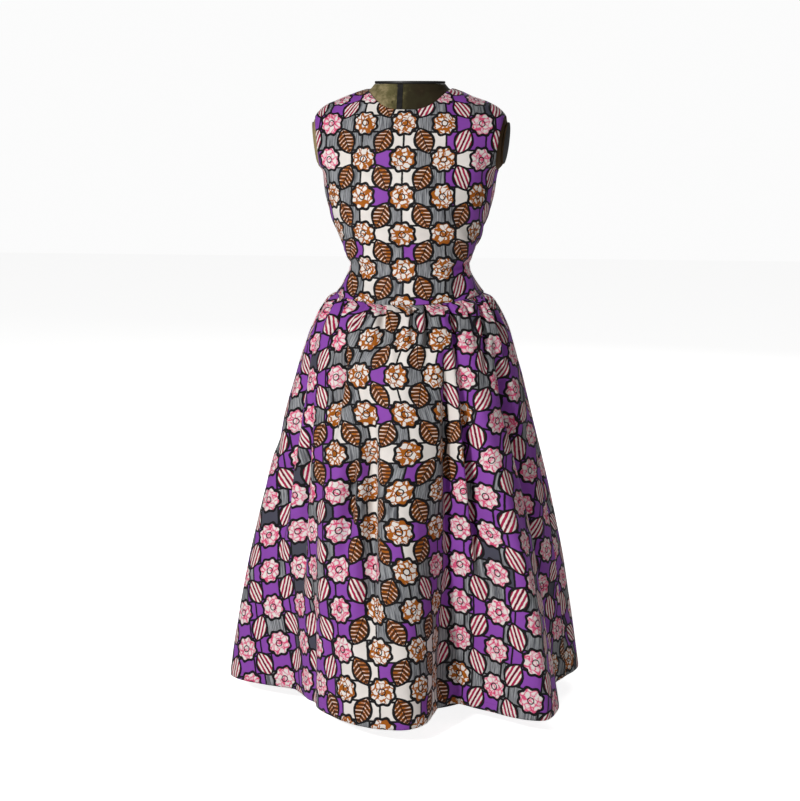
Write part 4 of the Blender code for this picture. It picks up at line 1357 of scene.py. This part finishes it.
def makeTape(name, dark, light, ribPitch):
    # narrow woven tape, ribbed down its length
    paint = Paint(name, Roughness=0.75, Specular_IOR_Level=0.3)
    spot = paint.spot()
    x, _, z = paint.apart(spot)
    ribs = x.wave(ribPitch) + z.wave(ribPitch * 0.8)
    cloud = paint.noise(spot, 120.0, 3.0)
    colour = paint.mix((cloud + ribs * 0.08).soft(0.30, 0.75), dark, light)
    return paint.feed(Base_Color=colour, Normal=paint.bump(ribs, 0.4, 0.00012))


def makeEnamel():
    paint = Paint("zipEnamel", Roughness=0.32)
    spot = paint.spot()
    worn = paint.noise(spot, 420.0, 3.0, 0.6)
    colour = paint.mix(worn.soft(0.62, 0.78) * 0.5, zipper["enamel"], zipper["bare"])
    return paint.feed(Base_Color=colour, Roughness=0.26 + worn * 0.16)


def makeThread():
    paint = Paint("sewingThread", Roughness=0.6)
    spot = paint.spot()
    ply = paint.noise(spot, 1400.0, 1.0)
    return paint.feed(Base_Color=paint.mix(ply, thread["colour"], thread["light"]))


def makeSteel():
    # drawn steel tube, brushed round
    paint = Paint("brushedSteel", Metallic=1.0, Roughness=0.32)
    spot = paint.spot()
    x, y, z = paint.apart(spot)
    brush = paint.noise(paint.together(x * 30.0, y * 30.0, z * 2600.0), 1.0, 2.0)
    cloud = paint.noise(spot, 25.0, 3.0)
    colour = paint.mix(cloud * 0.35, *stand["steel"])
    return paint.feed(
        Base_Color=colour, Roughness=0.24 + brush * 0.14 + cloud * 0.06,
        Normal=paint.bump(brush, 0.12, 0.00005),
    )


def makeIron():
    # cast iron under black hammer paint
    paint = Paint("paintedIron", Roughness=0.45)
    spot = paint.spot()
    dimple = paint.node("TexVoronoi", {"feature": "SMOOTH_F1"}, {"Vector": spot, "Scale": 260.0})
    cast = paint.noise(spot, 45.0, 4.0, 0.6)
    colour = paint.mix(cast.soft(0.55, 0.80) * 0.5, *stand["iron"])
    return paint.feed(
        Base_Color=colour, Roughness=0.36 + cast * 0.2,
        Normal=paint.bump(dimple + cast, 0.3, 0.0004),
    )


studio = {
    "lights": (
        # name, place, size, power
        ("keyLight", (-1.7, -3.4, 2.4), 0.5, 113.0),
        ("fillLight", (2.6, -3.2, 1.2), 2.4, 5.0),
        ("backLight", (0.8, 3.2, 2.6), 2.0, 46.0),
    ),
    "aim": (0.0, 0.0, 0.65),
    "sky": 0.055,                   # light that falls from all round
    "backdrop": 0.97,               # what the camera sees behind the dress
    "floor": tint(246, 245, 243),
    "floorHalf": 9.0,
    "floorGlow": (0.12, 0.88),      # on the dress, and to the camera
}


def addLights():
    for name, place, size, power in studio["lights"]:
        data = bpy.data.lights.new(name, "AREA")
        data.shape = "DISK"
        data.size = size
        data.energy = power
        light = addObject(name, data)
        light.location = place
        aim = Vector(studio["aim"]) - light.location
        light.rotation_euler = aim.to_track_quat("-Z", "Y").to_euler()
    sky = Paint("studio", world=True, Color=(1.0, 1.0, 1.0, 1.0))
    glow = sky.node(
        "MapRange", None,
        {"Value": sky.node("LightPath"), "To Min": studio["sky"], "To Max": studio["backdrop"]},
    )
    bpy.context.scene.world = sky.feed(Strength=glow)
    bpy.context.scene.view_settings.view_transform = "Standard"


def addFloor():
    mesh = bpy.data.meshes.new("studioFloor")
    bm = bmesh.new()
    bmesh.ops.create_grid(bm, x_segments=1, y_segments=1, size=studio["floorHalf"])
    bm.to_mesh(mesh)
    bm.free()
    paint = Paint("studioFloor", Roughness=0.9, Base_Color=studio["floor"], Emission_Strength=1.0)
    low, high = ((glow, glow, glow, 1.0) for glow in studio["floorGlow"])
    mesh.materials.append(paint.feed(Emission_Color=paint.mix(paint.node("LightPath"), low, high)))
    addObject("studioFloor", mesh)


addCamera()
addLights()
addFloor()
print("camera, lights and floor placed")
cotton = makePrintedCotton()
print("print made")
dress = makeDress(cotton)
print("dress made")
stitches = makeStitches(dress, makeThread())
print("stitches made")
makeZip(makeEnamel(), makeTape("zipTape", *zipper["tape"]))
print("zip made")
linen = makeLinen()
makeTorso(linen)
makeTrims(makeTrim(), linen)
makeNeckStrip(makeTape("blackTape", *dressForm["stripTape"]))
makeStand(makeSteel(), makeIron())
print("form and stand made")
declareSheets(dress)
